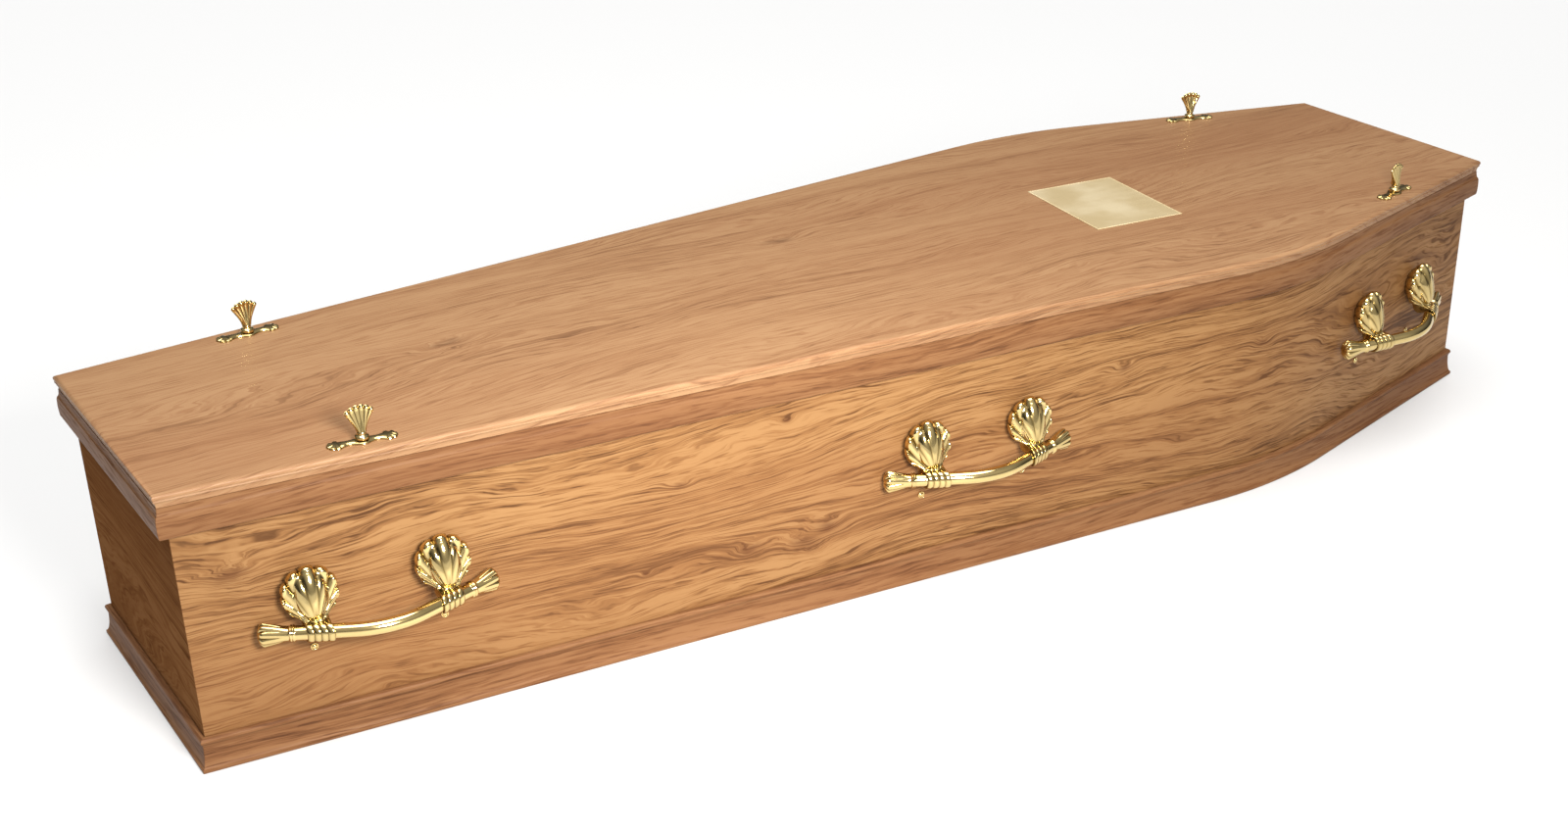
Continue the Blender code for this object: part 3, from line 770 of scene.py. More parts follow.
@dataclass(frozen=True)
class Plan:
    """Plan of the box: straight foot and head ends, and sides bent at the shoulder."""

    length: float = 1.906
    foot_width: float = 0.346
    shoulder_width: float = 0.606
    head_width: float = 0.344
    shoulder_to_head: float = 0.472
    bend_radius: float = 0.60
    bend_steps: int = 40

    @property
    def foot_corner(self) -> np.ndarray:
        """Left corner at the foot end."""
        return np.array([-self.length / 2, -self.foot_width / 2])

    @property
    def head_corner(self) -> np.ndarray:
        """Left corner at the head end."""
        return np.array([self.length / 2, -self.head_width / 2])

    @property
    def shoulder(self) -> np.ndarray:
        """Where the two straight parts of the left side would meet."""
        return np.array([self.length / 2 - self.shoulder_to_head, -self.shoulder_width / 2])

    def runs(self) -> tuple[np.ndarray, np.ndarray]:
        """Directions of the long and the short part of the left side, foot to head.

        Returns:
            The two unit directions.
        """
        long_run = self.shoulder - self.foot_corner
        short_run = self.head_corner - self.shoulder
        return long_run / np.linalg.norm(long_run), short_run / np.linalg.norm(short_run)

    def faces(self) -> tuple[np.ndarray, np.ndarray]:
        """Outward directions of the long and the short part of the left side."""
        long_run, short_run = self.runs()
        return np.array([long_run[1], -long_run[0]]), np.array([short_run[1], -short_run[0]])

    @staticmethod
    def mitre(face: np.ndarray, end: float) -> np.ndarray:
        """How a corner moves when its side and its end both move out by one.

        Args:
            face: The side's outward direction.
            end: -1 for the foot end, 1 for the head end.

        Returns:
            The corner's move, (2,).
        """
        run = np.array([-face[1], face[0]])
        return face + run * (end - face[0]) / run[0]

    def left(self) -> tuple[np.ndarray, np.ndarray]:
        """Left edge of the plan, foot to head.

        Returns:
            The points, and how each of them moves when the edge moves out by one.
        """
        long_face, short_face = self.faces()
        half = math.acos(float(long_face @ short_face)) / 2
        middle = long_face + short_face
        centre = self.shoulder - middle / np.linalg.norm(middle) * self.bend_radius / math.cos(half)
        start = math.degrees(math.atan2(long_face[1], long_face[0]))
        end = math.degrees(math.atan2(short_face[1], short_face[0]))
        moves = arc((0.0, 0.0), (1.0, 1.0), start, end, self.bend_steps)
        bend = centre + moves * self.bend_radius
        points = np.concatenate([[self.foot_corner], bend, [self.head_corner]])
        first, last = self.mitre(long_face, -1.0), self.mitre(short_face, 1.0)
        return points, np.concatenate([[first], moves, [last]])

    def end(self, at_head: bool) -> tuple[np.ndarray, np.ndarray]:
        """An end of the plan, left to right, as points and their moves.

        Args:
            at_head: True for the head end, False for the foot end.

        Returns:
            The two corners and their moves.
        """
        points, moves = self.left()
        corner, move = (points[-1], moves[-1]) if at_head else (points[0], moves[0])
        mirror = np.array([1.0, -1.0])
        return np.stack([corner, corner * mirror]), np.stack([move, move * mirror])

    def ring(self) -> tuple[np.ndarray, np.ndarray]:
        """The whole plan as one ring of points and their moves.

        Returns:
            The points and their moves.
        """
        points, moves = self.left()
        mirror = np.array([1.0, -1.0])
        return np.concatenate([points, points[::-1] * mirror]), np.concatenate([moves, moves[::-1] * mirror])


@dataclass(frozen=True)
class Strip:
    """A board or moulding: a closed profile of (out, height) points carried along the plan.

    A point is the plan's point plus its move times `out`, at `height`. The grain runs along the
    strip, and the grain map is (distance along the plan, distance round the profile), which is the
    height on the outside.
    """

    plan: Plan
    profile: np.ndarray

    def build(self, name: str, path: tuple[np.ndarray, np.ndarray], mirror: float = 1.0) -> bpy.types.Object:
        """Carry the profile along a path.

        Args:
            name: The piece's name.
            path: Points of the path and their moves.
            mirror: -1 to build it on the other side of the centre line.

        Returns:
            The finished piece.
        """
        base, moves = path
        pull = np.zeros_like(base)
        pull[0] = (base[1] - base[0]) / np.linalg.norm(base[1] - base[0])
        pull[-1] = (base[-2] - base[-1]) / np.linalg.norm(base[-2] - base[-1])
        base = base + pull * GAP / math.sqrt(2.0)
        out, height = self.profile[:, 0], self.profile[:, 1]
        flat = base[:, None, :] + moves[:, None, :] * out[None, :, None]
        grid = lifted(flat * np.array([1.0, mirror]), height[None])
        along = lengths(base)
        closed = np.concatenate([self.profile, self.profile[:1]])
        around = closed[-1, 1] + lengths(closed)[-1] - lengths(closed)
        chart = np.stack(np.meshgrid(along, around, indexing="ij"), axis=-1)
        shape = Shape()
        shape.tube(grid, chart)
        return shape.build(name)


@dataclass
class Box:
    """The open box: floor, bent sides and ends, with the moulding round its foot."""

    plan: Plan
    height: float = 0.3197
    thickness: float = 0.015
    floor_thickness: float = 0.015
    edge: float = 0.0006
    base_height: float = 0.040
    base_nose_out: float = 0.0068
    base_nose_height: float = 0.0080
    base_cove: float = 0.0024
    base_foot_out: float = 0.0098
    base_foot_height: float = 0.0040
    base_arris: float = 0.0005

    def board_profile(self) -> np.ndarray:
        """Section of an upright board, its four edges eased by a quarter round.

        Returns:
            Points (out, height), (n, 2).
        """
        e, t, h = self.edge, self.thickness, self.height
        corners = [((-e, e), 0.0, -90.0), ((-t + e, e), -90.0, -180.0),
                   ((-t + e, h - e), 180.0, 90.0), ((-e, h - e), 90.0, 0.0)]
        return np.concatenate([arc(centre, (e, e), start, end, 3) for centre, start, end in corners])

    def base_profile(self) -> np.ndarray:
        """Section of the base moulding: round nose, hollow, flare and foot.

        Returns:
            Points (out, height), (n, 2).
        """
        top = self.base_height
        half = self.base_nose_height / 2
        nose = arc((self.base_nose_out - half, top - half), (half, half), 90.0, -50.0, 14)
        hollow = self.base_nose_out - self.base_cove
        rise = (nose[-1, 1] - self.base_foot_height) * 0.9
        flare_at = (self.base_foot_out, self.base_foot_height + rise)
        flare = arc(flare_at, (self.base_foot_out - hollow, rise), 180.0, 262.0, 14)
        foot = np.array([[self.base_foot_out, self.base_foot_height], [self.base_foot_out, self.base_arris],
                         [self.base_foot_out - self.base_arris, 0.0]])
        return np.concatenate([[[GAP, 0.0], [GAP, top]], nose, flare, foot])

    def build_floor(self, material: bpy.types.Material) -> None:
        """The floor board between the sides.

        Args:
            material: The board's finish.
        """
        points, moves = self.plan.ring()
        inset = points - moves * (self.thickness + GAP)
        grid = lifted(np.stack([inset, inset]), np.array([[0.0], [self.floor_thickness]]))
        chart = np.concatenate([grid, grid[:, :1]], axis=1)[..., :2]
        shape = Shape()
        shape.tube(grid, chart)
        dress(shape.build("raw_floor"), material, "raw_board", "floor_board")

    def build(self, oak: dict[Grain, bpy.types.Material]) -> None:
        """Make the box's boards and its base moulding.

        Args:
            oak: The oak materials by grain.
        """
        board = Strip(self.plan, self.board_profile())
        trim = Strip(self.plan, self.base_profile())
        for side, grain in ((Side.LEFT, Grain.LEFT), (Side.RIGHT, Grain.RIGHT)):
            word, mirror = side.name.lower(), -side.value
            piece = board.build(f"oak_side_{word}", self.plan.left(), mirror)
            dress(piece, oak[grain], "oak_side", f"side_board_{word}")
            strip = trim.build(f"oak_base_strip_{word}", self.plan.left(), mirror)
            dress(strip, oak[Grain.TRIM], "oak_moulding", f"base_moulding_{word}")
        for word, at_head, grain in (("foot", False, Grain.FOOT), ("head", True, Grain.HEAD)):
            path = self.plan.end(at_head)
            dress(board.build(f"oak_end_{word}", path), oak[grain], "oak_side", f"{word}_board")
            dress(trim.build(f"oak_base_strip_{word}", path), oak[Grain.TRIM], "oak_moulding",
                  f"base_moulding_{word}")
        self.build_floor(oak[Grain.RAW])


@dataclass
class Lid:
    """The lid board with the bead along its edge, and the strips that hang under its edge."""

    plan: Plan
    box_height: float = 0.3197
    thickness: float = 0.016
    overhang: float = 0.0125
    strip_height: float = 0.036
    fit: float = 0.0006
    cove_depth: float = 0.0030
    cove_height: float = 0.0090
    swell: float = 0.0006
    under_radius: float = 0.0035
    nose_hollow: tuple[float, float] = (0.0036, 0.0078)
    nose_round: float = 0.0050

    @property
    def top(self) -> float:
        """Height of the lid's upper face."""
        return self.box_height + GAP + self.thickness

    def strip_profile(self) -> np.ndarray:
        """Section of a lid strip: a hollow, a long gently swelling face, rounded under to the wall.

        Returns:
            Points (out, height), (n, 2).
        """
        top, bottom = self.box_height, self.box_height + GAP - self.strip_height
        hollow = arc((self.overhang, top - 0.001), (self.cove_depth, self.cove_height), 180.0, 262.0, 10)
        under = self.under_radius
        belly = arc((self.overhang - under, bottom + under), (under, under), 0.0, -90.0, 10)
        share = np.linspace(0.0, 1.0, 8)[1:-1]
        height = hollow[-1, 1] + (belly[0, 1] - hollow[-1, 1]) * share
        face = np.stack([self.overhang + np.sin(np.pi * share) * self.swell, height], axis=-1)
        inner = [[self.fit, bottom], [self.fit, top], [self.overhang - self.cove_depth, top]]
        return np.concatenate([inner, hollow, face, belly[:-1], [[self.fit + 0.002, bottom]]])

    def build_board(self, material: bpy.types.Material) -> None:
        """The lid board: rings of the plan moved out along its edge, a bead over a hollow.

        Args:
            material: The lid's oak.
        """
        hollow = arc((self.overhang, self.top - self.thickness), self.nose_hollow, 180.0, 100.0, 10)
        half = (self.thickness - self.nose_hollow[1]) / 2
        middle = (self.overhang - self.nose_round, self.top - half)
        nose = np.concatenate([hollow, arc(middle, (self.nose_round, half), -40.0, 90.0, 14)])
        points, moves = self.plan.ring()
        grid = lifted(points[None] + moves[None] * nose[:, None, :1], nose[:, 1:])
        outward = np.sign(grid[..., 1]) * (self.top - grid[..., 2])
        chart = np.stack([grid[..., 0], grid[..., 1] + outward], axis=-1)
        chart = np.concatenate([chart, chart[:, :1]], axis=1)
        shape = Shape()
        shape.tube(grid, chart)
        dress(shape.build("oak_lid", sharp=50.0), material, "oak_lid", "lid_board")

    def build(self, oak: dict[Grain, bpy.types.Material]) -> None:
        """Make the lid board and its four strips.

        Args:
            oak: The oak materials by grain.
        """
        self.build_board(oak[Grain.LID])
        strip = Strip(self.plan, self.strip_profile())
        for side in Side:
            word = side.name.lower()
            piece = strip.build(f"oak_lid_strip_{word}", self.plan.left(), -side.value)
            dress(piece, oak[Grain.TRIM], "oak_moulding", f"lid_moulding_{word}")
        for word, at_head in (("foot", False), ("head", True)):
            piece = strip.build(f"oak_lid_strip_{word}", self.plan.end(at_head))
            dress(piece, oak[Grain.TRIM], "oak_moulding", f"lid_moulding_{word}")


@dataclass
class BarHandle:
    """A bowed bar with fluted finials, held by two shell brackets, with a stud under each clasp.

    It is drawn with X along the wall, the wall at y = 0, the outside at -Y and the bar's axis at z = 0.
    """

    spacing: float = 0.146
    radius: float = 0.0082
    stand_off: float = 0.057
    bow_angle: float = math.radians(22.0)
    bow_radius: float = 0.100
    collar_from_bracket: float = 0.0245
    collar_length: float = 0.005
    collar_radius: float = 0.0096
    finial_length: float = 0.034
    finial_half_height: float = 0.0138
    finial_half_depth: float = 0.0106
    finial_dome: float = 0.0065
    finial_lobes: int = 9
    finial_flutes: float = 0.15
    flare_speed: float = 1.18
    tip_share: float = 0.25
    lip_from_tip: float = 0.0050
    lip_width: float = 0.0030
    lip_flutes: float = 0.10
    lip_lobes: float = 0.035
    bead_insets: tuple[float, float] = (0.0012, 0.0008)
    bead_width: float = 0.0011
    bead_margin: float = 0.0015
    ring_step: float = 0.0005
    lobes: int = 9
    shell_radius: float = 0.0312
    shell_centre_up: float = 0.0385
    shell_half_angle: float = math.radians(88.0)
    rim_depth: float = 0.0180
    crown: float = 0.0090
    bulb: tuple[float, float] = (0.0175, 0.0270)
    foot_share: float = 0.6
    flute: float = 0.0017
    scallop: float = 0.08
    scallop_mean: float = 0.85
    scallop_from: float = 0.5
    ribs_until: float = 0.35
    rim_bead: float = 0.0017
    rim_bead_at: tuple[float, float] = (0.94, 0.05)
    rim_round: float = 0.0055
    rim_round_from: float = 0.90
    back_until: float = 0.45
    neck_up: float = 0.0135
    neck_out: float = 0.0300
    neck_back_out: float = 0.0180
    clasp_width: float = 0.0265
    clasp_wall: float = 0.0017
    clasp_fit: float = 0.0012
    clasp_ribs: int = 4
    clasp_starts: tuple[float, float] = (110.0, 180.0)
    clasp_end: float = -120.0
    clasp_rib: float = 0.0010
    stud_drop: float = 0.036
    stud_radius: float = 0.0045
    stud_height: float = 0.0030

    @property
    def bow_half(self) -> float:
        """Half the length of the bowed middle."""
        return self.bow_radius * math.sin(self.bow_angle)

    def stand(self, along: np.ndarray) -> np.ndarray:
        """Distance of the axis from the wall: an arc in the middle, straight arms beyond it.

        Args:
            along: Place along the wall, from the handle's middle.

        Returns:
            The distance at each place.
        """
        bent = self.bow_radius - np.sqrt(np.maximum(self.bow_radius**2 - along**2, 0.0))
        straight = self.bow_radius * (1.0 - math.cos(self.bow_angle))
        straight = straight + (np.abs(along) - self.bow_half) * math.tan(self.bow_angle)
        return self.stand_off - np.where(np.abs(along) < self.bow_half, bent, straight)

    def bar_shape(self) -> Shape:
        """The bar: rings round its axis whose radii swell at the collars and flare into the finials.

        Returns:
            The bar's shape.
        """
        scale = math.cos(self.bow_angle)
        collar = self.spacing / 2 + self.collar_from_bracket * scale
        neck = collar + self.collar_length * scale
        tip = neck + self.finial_length * scale
        dome = tip - self.finial_dome
        first, last = collar - self.bead_margin, neck + self.bead_margin
        bar = np.linspace(0.0, first - self.ring_step, 40)
        rings = np.linspace(first, last, 22)
        flare = np.linspace(last + self.ring_step, dome, 26)
        close = dome + self.finial_dome * np.sin(np.linspace(0.1, math.pi / 2, 14))
        half = np.concatenate([bar, rings, flare, close])
        along = np.concatenate([-half[:0:-1], half])
        reach = np.abs(along)
        flared = smooth((reach - neck) / (tip - neck) * self.flare_speed)
        beads = bell(reach, collar + self.bead_insets[0], self.bead_width)
        beads = beads + bell(reach, neck - self.bead_insets[1], self.bead_width)
        round_part = self.radius + beads * (self.collar_radius - self.radius)
        lip = bell(reach, tip - self.lip_from_tip, self.lip_width)
        closing = self.tip_share + (1.0 - self.tip_share) * quarter(reach, dome, self.finial_dome)
        high = (round_part + (self.finial_half_height - self.radius) * flared) * closing
        deep = (round_part + (self.finial_half_depth - self.radius) * flared) * closing
        turn = np.linspace(0.0, TAU, 109)[:-1]
        lobe = np.sqrt(np.abs(np.sin(turn * self.finial_lobes / 2)))
        depth = flared * self.finial_flutes + lip * self.lip_flutes
        size = 1.0 - depth[:, None] * (1.0 - lobe) + (lip * self.lip_lobes)[:, None] * lobe
        across = deep[:, None] * size * np.cos(turn)
        up = high[:, None] * size * np.sin(turn)
        lean = np.clip(along / self.bow_half, -1.0, 1.0)[:, None] * self.bow_angle
        x = along[:, None] + across * np.sin(lean)
        y = self.stand(along)[:, None] + across * np.cos(lean)
        relief = 1.0 - flared[:, None] * (1.0 - lobe) * 0.9
        return Shape.metal(np.stack([x, -y, up], axis=-1), relief)

    def rim(self, share: np.ndarray) -> tuple[np.ndarray, np.ndarray]:
        """The shell's round rim seen from its neck.

        Args:
            share: Place round the rim, -1 to 1.

        Returns:
            Its x and its height above the bar's axis.
        """
        angle = share * self.shell_half_angle
        rise = self.shell_centre_up - self.neck_up
        reach = rise * np.cos(angle) + np.sqrt(self.shell_radius**2 - (rise * np.sin(angle)) ** 2)
        return reach * np.sin(angle), self.neck_up + reach * np.cos(angle)

    def shell_rows(self, share: np.ndarray, level: np.ndarray) -> tuple[np.ndarray, np.ndarray, np.ndarray]:
        """Front, back and relief of the fan shell from its rim down to the neck.

        A point goes straight from the neck to the rim as the level goes from 0 to 1. Its distance
        from the wall falls from the neck to the rim, plus a domed crown, a ridge on every lobe and a
        bead near the rim. The back lies on the wall, drawn in behind the rim.

        Args:
            share: Place across, (columns,).
            level: Level of each row, (rows,), from 1 to 0.

        Returns:
            Front and back points as (x, out, up), and the relief.
        """
        s, q = share[None, :], level[:, None]
        ridge = ridges(s, self.lobes)
        rim_x, rim_up = self.rim(s)
        outer_part = smooth((q - self.scallop_from) / (1.0 - self.scallop_from))
        scallop = 1.0 + self.scallop * (ridge - self.scallop_mean) * outer_part
        rim_x = rim_x * scallop
        rim_up = self.neck_up + (rim_up - self.neck_up) * scallop
        x = (self.clasp_width / 2) * s * (1.0 - q) + rim_x * q
        up = self.neck_up * (1.0 - q) + rim_up * q
        fall = self.neck_out + (self.rim_depth - self.neck_out) * q
        round_off = 1.0 - (x / self.bulb[0]) ** 2 - ((up - self.shell_centre_up) / self.bulb[1]) ** 2
        swell = self.crown * np.sqrt(np.clip(round_off, 0.0, 1.0))
        fluted = smooth(q / self.ribs_until)
        relief = ridge * fluted + ridges(s, self.clasp_ribs) * (1.0 - fluted)
        flute = self.flute * (relief - 0.6) * (0.5 + 1.1 * smooth((q - 0.45) / 0.5))
        bead = bell(q, *self.rim_bead_at) * ridge**3
        drop = self.rim_round * (1.0 - quarter(q, self.rim_round_from, 1.0 - self.rim_round_from))
        out = fall + swell + flute + self.rim_bead * bead - drop
        front = np.stack([x, out, up + 0.0 * x], axis=-1)
        back_out = GAP + (self.neck_back_out - GAP) * smooth(1.0 - q / self.back_until)
        sink = self.neck_up * smooth(1.0 - q / 0.30)
        draw = 1.0 - (1.0 - self.foot_share) * smooth(q / self.back_until)
        foot_up = self.shell_centre_up + (up - sink - self.shell_centre_up) * draw
        back = np.stack([x * draw, back_out + 0.0 * x, foot_up + 0.0 * x], axis=-1)
        return front, back, relief + bead * 0.51

    def clasp_rows(self, share: np.ndarray, part: np.ndarray) -> tuple[np.ndarray, np.ndarray, np.ndarray]:
        """Outside, inside and relief of the clasp as it wraps over the bar.

        Both faces are arcs round the bar's axis. They start at their own angles and end at one.

        Args:
            share: Place across, (columns,).
            part: 0 at the neck and 1 at the tail, (rows,).

        Returns:
            Outside and inside points as (x, out, up), and the relief.
        """
        inner = self.radius + self.clasp_fit
        ribs = ridges(share, self.clasp_ribs)[None, :]
        x = share[None, :] * self.clasp_width / 2 + 0.0 * part[:, None]
        axis = self.stand(np.array(self.spacing / 2)) - x * math.tan(self.bow_angle)
        taper = np.sqrt(np.clip(1.0 - (part / 1.02) ** 6, 0.02, 1.0))[:, None]
        outer = inner + (self.clasp_wall + self.clasp_rib * (ribs - 0.4)) * taper
        faces = []
        for start, radius in zip(self.clasp_starts, (outer, inner)):
            turn = np.radians(start + (self.clasp_end - start) * part)[:, None]
            out, up = axis + radius * np.cos(turn), radius * np.sin(turn) + 0.0 * x
            faces.append(np.stack([x, out, up], axis=-1))
        return faces[0], faces[1], ribs + 0.0 * part[:, None]

    def bracket_shape(self, mirror: float) -> Shape:
        """Shell, neck and clasp as one closed slab.

        Args:
            mirror: 1 for the bracket at +X, -1 for the one at -X.

        Returns:
            The bracket's shape, around its clasp.
        """
        share = np.linspace(-1.0, 1.0, self.lobes * 8 + 1)
        level = 1.0 - np.linspace(0.0, 1.0, 44) ** 1.25
        part = np.linspace(0.0, 1.0, 30)
        front, back, relief = self.shell_rows(share, level)
        outside, inside, rib_relief = self.clasp_rows(share, part)
        turn = np.array([mirror, -1.0, 1.0])
        shape = Shape()
        shape.sheet(self.ease(front, outside) * turn, self.ease(back, inside) * turn,
                    np.concatenate([relief, rib_relief]))
        return shape

    @staticmethod
    def ease(first: np.ndarray, second: np.ndarray, reach: int = 5, rounds: int = 6) -> np.ndarray:
        """Join two grids and ease the step from the one's last rows to the other's first rows.

        In each round every row near the join becomes half itself and a quarter of each neighbour.

        Args:
            first: The upper grid.
            second: The lower grid.
            reach: Rows on each side that move.
            rounds: How often they are eased.

        Returns:
            The whole grid.
        """
        whole = np.concatenate([first, second])
        low, high = len(first) - reach, len(first) + reach
        for _ in range(rounds):
            neighbours = whole[low - 1:high - 1] + whole[low + 1:high + 1]
            whole[low:high] = (whole[low:high] * 2.0 + neighbours) / 4.0
        return whole

    def stud_shape(self) -> Shape:
        """A domed stud with a turned ring round it, its axis out of the wall.

        Returns:
            The stud's shape.
        """
        dome = arc((0.0, 0.0009), (self.stud_radius * 0.68, self.stud_height - 0.0012), 88.0, 8.0, 8)
        ring = arc((self.stud_radius * 0.84, 0.0009), (self.stud_radius * 0.16, 0.0007), 170.0, -10.0, 8)
        profile = np.concatenate([dome, ring, [[self.stud_radius, GAP]]])
        turn = np.linspace(0.0, TAU, 33)[:-1]
        x = profile[:, 0, None] * np.cos(turn)
        z = profile[:, 0, None] * np.sin(turn)
        return Shape.metal(np.stack([x, -profile[:, 1, None] + 0.0 * x, z - self.stud_drop], axis=-1))

    def build(self, name: str, place: Matrix, ends: tuple[str, str], material: bpy.types.Material) -> None:
        """Make one handle.

        Args:
            name: Side and place, such as left_foot.
            place: Where it stands on the wall.
            ends: The words for its -X and its +X end.
            material: The brass.
        """
        bar = self.bar_shape().build(f"brass_bar_{name}", place)
        dress(bar, material, "polished_brass", f"handle_bar_{name}")
        for word, mirror in zip(ends, (-1.0, 1.0)):
            spot = place @ Matrix.Translation(Vector((mirror * self.spacing / 2, 0.0, 0.0)))
            bracket = self.bracket_shape(mirror).build(f"brass_shell_{name}_{word}", spot, 60.0)
            dress(bracket, material, "polished_brass", f"bracket_{name}_{word}")
            stud = self.stud_shape().build(f"brass_stud_{name}_{word}", spot)
            dress(stud, material, "polished_brass", f"stud_{name}_{word}")


@dataclass
class WreathHolder:
    """A low plate with scalloped shell ends, and an upright fan on a collar.

    It is drawn with the lid's face at z = 0 and its length along X.
    """

    half_length: float = 0.0385
    end_radius: float = 0.0105
    end_half_angle: float = math.radians(118.0)
    waist: float = 0.0052
    boss: float = 0.0100
    edge: float = 0.00084
    rise: float = 0.0034
    relief_depth: float = 0.0007
    end_lobes: int = 5
    fan_lobes: int = 6
    fan_height: float = 0.042
    fan_half_width: float = 0.0165
    fan_half_angle: float = math.radians(52.0)
    fan_thickness: float = 0.0030
    fan_scallop: float = 0.07
    fan_ridge: float = 0.0010
    fan_bead: float = 0.0009
    fan_bead_at: tuple[float, float] = (0.90, 0.05)
    fan_round_from: float = 0.93
    fan_shoulder: float = 0.62
    neck_up: float = 0.013
    neck_radius: float = 0.0055
    collar_radius: float = 0.0078

    def plate_outline(self) -> tuple[np.ndarray, np.ndarray, np.ndarray]:
        """Outline of the plate: a fan of lobes, a waist and half the boss, then the same turned about.

        Returns:
            Its points, the spine points they are drawn towards, and the lobes' relief.
        """
        centre = self.half_length - self.end_radius
        share = np.linspace(-1.0, 1.0, self.end_lobes * 10 + 1)
        ridge = ridges(share, self.end_lobes)
        radius = self.end_radius * (0.88 + 0.12 * ridge)
        angle = share * self.end_half_angle
        fan = np.stack([centre + radius * np.cos(angle), radius * np.sin(angle)], axis=-1)
        fan_spine = np.broadcast_to([centre, 0.0], fan.shape)
        turn = np.radians(np.linspace(50.0, 130.0, 17))
        boss = np.stack([self.boss * np.cos(turn), self.boss * np.sin(turn)], axis=-1)
        run = np.linspace(0.12, 0.88, 9)
        start, end = fan[-1], boss[0]
        neck = start + (end - start) * run[:, None]
        neck[:, 1] = neck[:, 1] * (1.0 - np.sin(np.pi * run)) + self.waist * np.sin(np.pi * run)
        neck_spine = np.stack([neck[:, 0], 0.0 * run], axis=-1)
        back = neck[::-1] * np.array([-1.0, 1.0])
        back_spine = neck_spine[::-1] * np.array([-1.0, 1.0])
        points = np.concatenate([fan, neck, boss, back])
        spine = np.concatenate([fan_spine, neck_spine, np.zeros_like(boss), back_spine])
        relief = np.concatenate([ridge, np.full(len(points) - len(ridge), 0.8)])
        return np.concatenate([points, -points]), np.concatenate([spine, -spine]), np.tile(relief, 2)

    def plate_shape(self) -> Shape:
        """The plate: rings of its outline drawn in towards its spine as they rise.

        Returns:
            The plate's shape, with a flute between its lobes and a bead near its edge.
        """
        points, spine, ridge = self.plate_outline()
        draw = np.array([1.0, 1.0, 0.985, 0.95, 0.90, 0.84, 0.76, 0.66, 0.55, 0.42, 0.28, 0.16])
        swell = np.sin(np.linspace(0.0, math.pi / 2, len(draw) - 2)) ** 0.8
        height = np.concatenate([[GAP, self.edge], self.edge + (self.rise - self.edge) * swell])
        draw = draw[:, None]
        flute = (ridge - 1.0) * self.relief_depth * bell(draw, 0.80, 0.35)
        flute[:2] = 0.0
        bead = ridge**3 * self.relief_depth * bell(draw, 0.90, 0.07)
        bead[:1] = 0.0
        lift = np.minimum(height[:, None] + flute + bead * (ridge < 0.999), self.rise)
        flat = spine + (points - spine) * draw[..., None]
        return Shape.metal(lifted(flat, lift), 0.35 + 0.65 * np.broadcast_to(ridge, lift.shape))

    def collar_rows(self, share: np.ndarray) -> np.ndarray:
        """Front half of the round collar's rings: half turns of its turned profile.

        Args:
            share: Place across, -1 to 1, (columns,).

        Returns:
            Points, (rows, columns, 3).
        """
        profile = np.array([[0.0, 0.96], [0.08, 1.0], [0.28, 1.0], [0.40, 0.93], [0.48, 0.70], [0.60, 0.60],
                            [0.72, 0.66], [0.80, 0.66], [0.90, 0.58]])
        seat = self.rise + GAP
        height = seat + (self.neck_up - seat) * profile[:, :1]
        radius = self.collar_radius * profile[:, 1:]
        turn = share * math.pi / 2
        return lifted(np.stack([radius * np.sin(turn), -radius * np.cos(turn)], axis=-1), height)

    def fan_rows(self, share: np.ndarray, level: np.ndarray) -> np.ndarray:
        """Front half of the fan's rings, from its neck up to its rim.

        A ring's half width opens from the neck's to the scalloped rim's. Its half thickness is the
        neck's, which fades, plus the fan's, with ridges and a bead, rounded off at rim and sides.

        Args:
            share: Place across, -1 to 1, (columns,).
            level: 0 at the neck to 1 at the rim, (rows, 1).

        Returns:
            Points, (rows, columns, 3).
        """
        ridge = ridges(share, self.fan_lobes)
        angle = share * self.fan_half_angle
        scallop = 1.0 + self.fan_scallop * (ridge - 0.8) * level
        rim_x = self.fan_half_width * np.sin(angle) / math.sin(self.fan_half_angle) * scallop
        arch = self.fan_shoulder + (1.0 - self.fan_shoulder) * np.cos(angle * 1.4)
        rim_up = (self.fan_height - self.neck_up) * arch * scallop
        opened = level**1.35
        x = self.neck_radius * share * (1.0 - opened) + rim_x * opened
        up = np.minimum(self.neck_up + rim_up * level, self.fan_height)
        neck = self.neck_radius * np.sqrt(1.0 - share * share) * (1.0 - level) ** 1.5
        bead = self.fan_bead * bell(level, *self.fan_bead_at) * ridge**3
        half = neck + self.fan_thickness * 0.45 + self.fan_ridge * (ridge - 0.7) * level + bead
        half = half * (0.15 + 0.85 * quarter(level, self.fan_round_from, 1.0 - self.fan_round_from))
        half = half * (0.35 + 0.65 * np.sqrt(1.0 - np.abs(share) ** 8))
        return np.stack([x, -half, up], axis=-1)

    def fan_shape(self) -> Shape:
        """The upright fan: rings that go from a round collar to a flat fluted fan with a beaded rim.

        Returns:
            The fan's shape, standing on the plate.
        """
        share = np.linspace(-1.0, 1.0, self.fan_lobes * 8 + 1)
        level = (1.0 - np.linspace(1.0, 0.0, 34) ** 1.2)[:, None]
        collar = self.collar_rows(share)
        front = np.concatenate([collar, self.fan_rows(share, level)])
        grid = np.concatenate([front, front[:, -2:0:-1] * np.array([1.0, -1.0, 1.0])], axis=1)
        ridge = ridges(share, self.fan_lobes)
        relief = np.ones(grid.shape[:2])
        relief[len(collar):] = np.concatenate([ridge, ridge[-2:0:-1]])
        return Shape.metal(grid, relief)

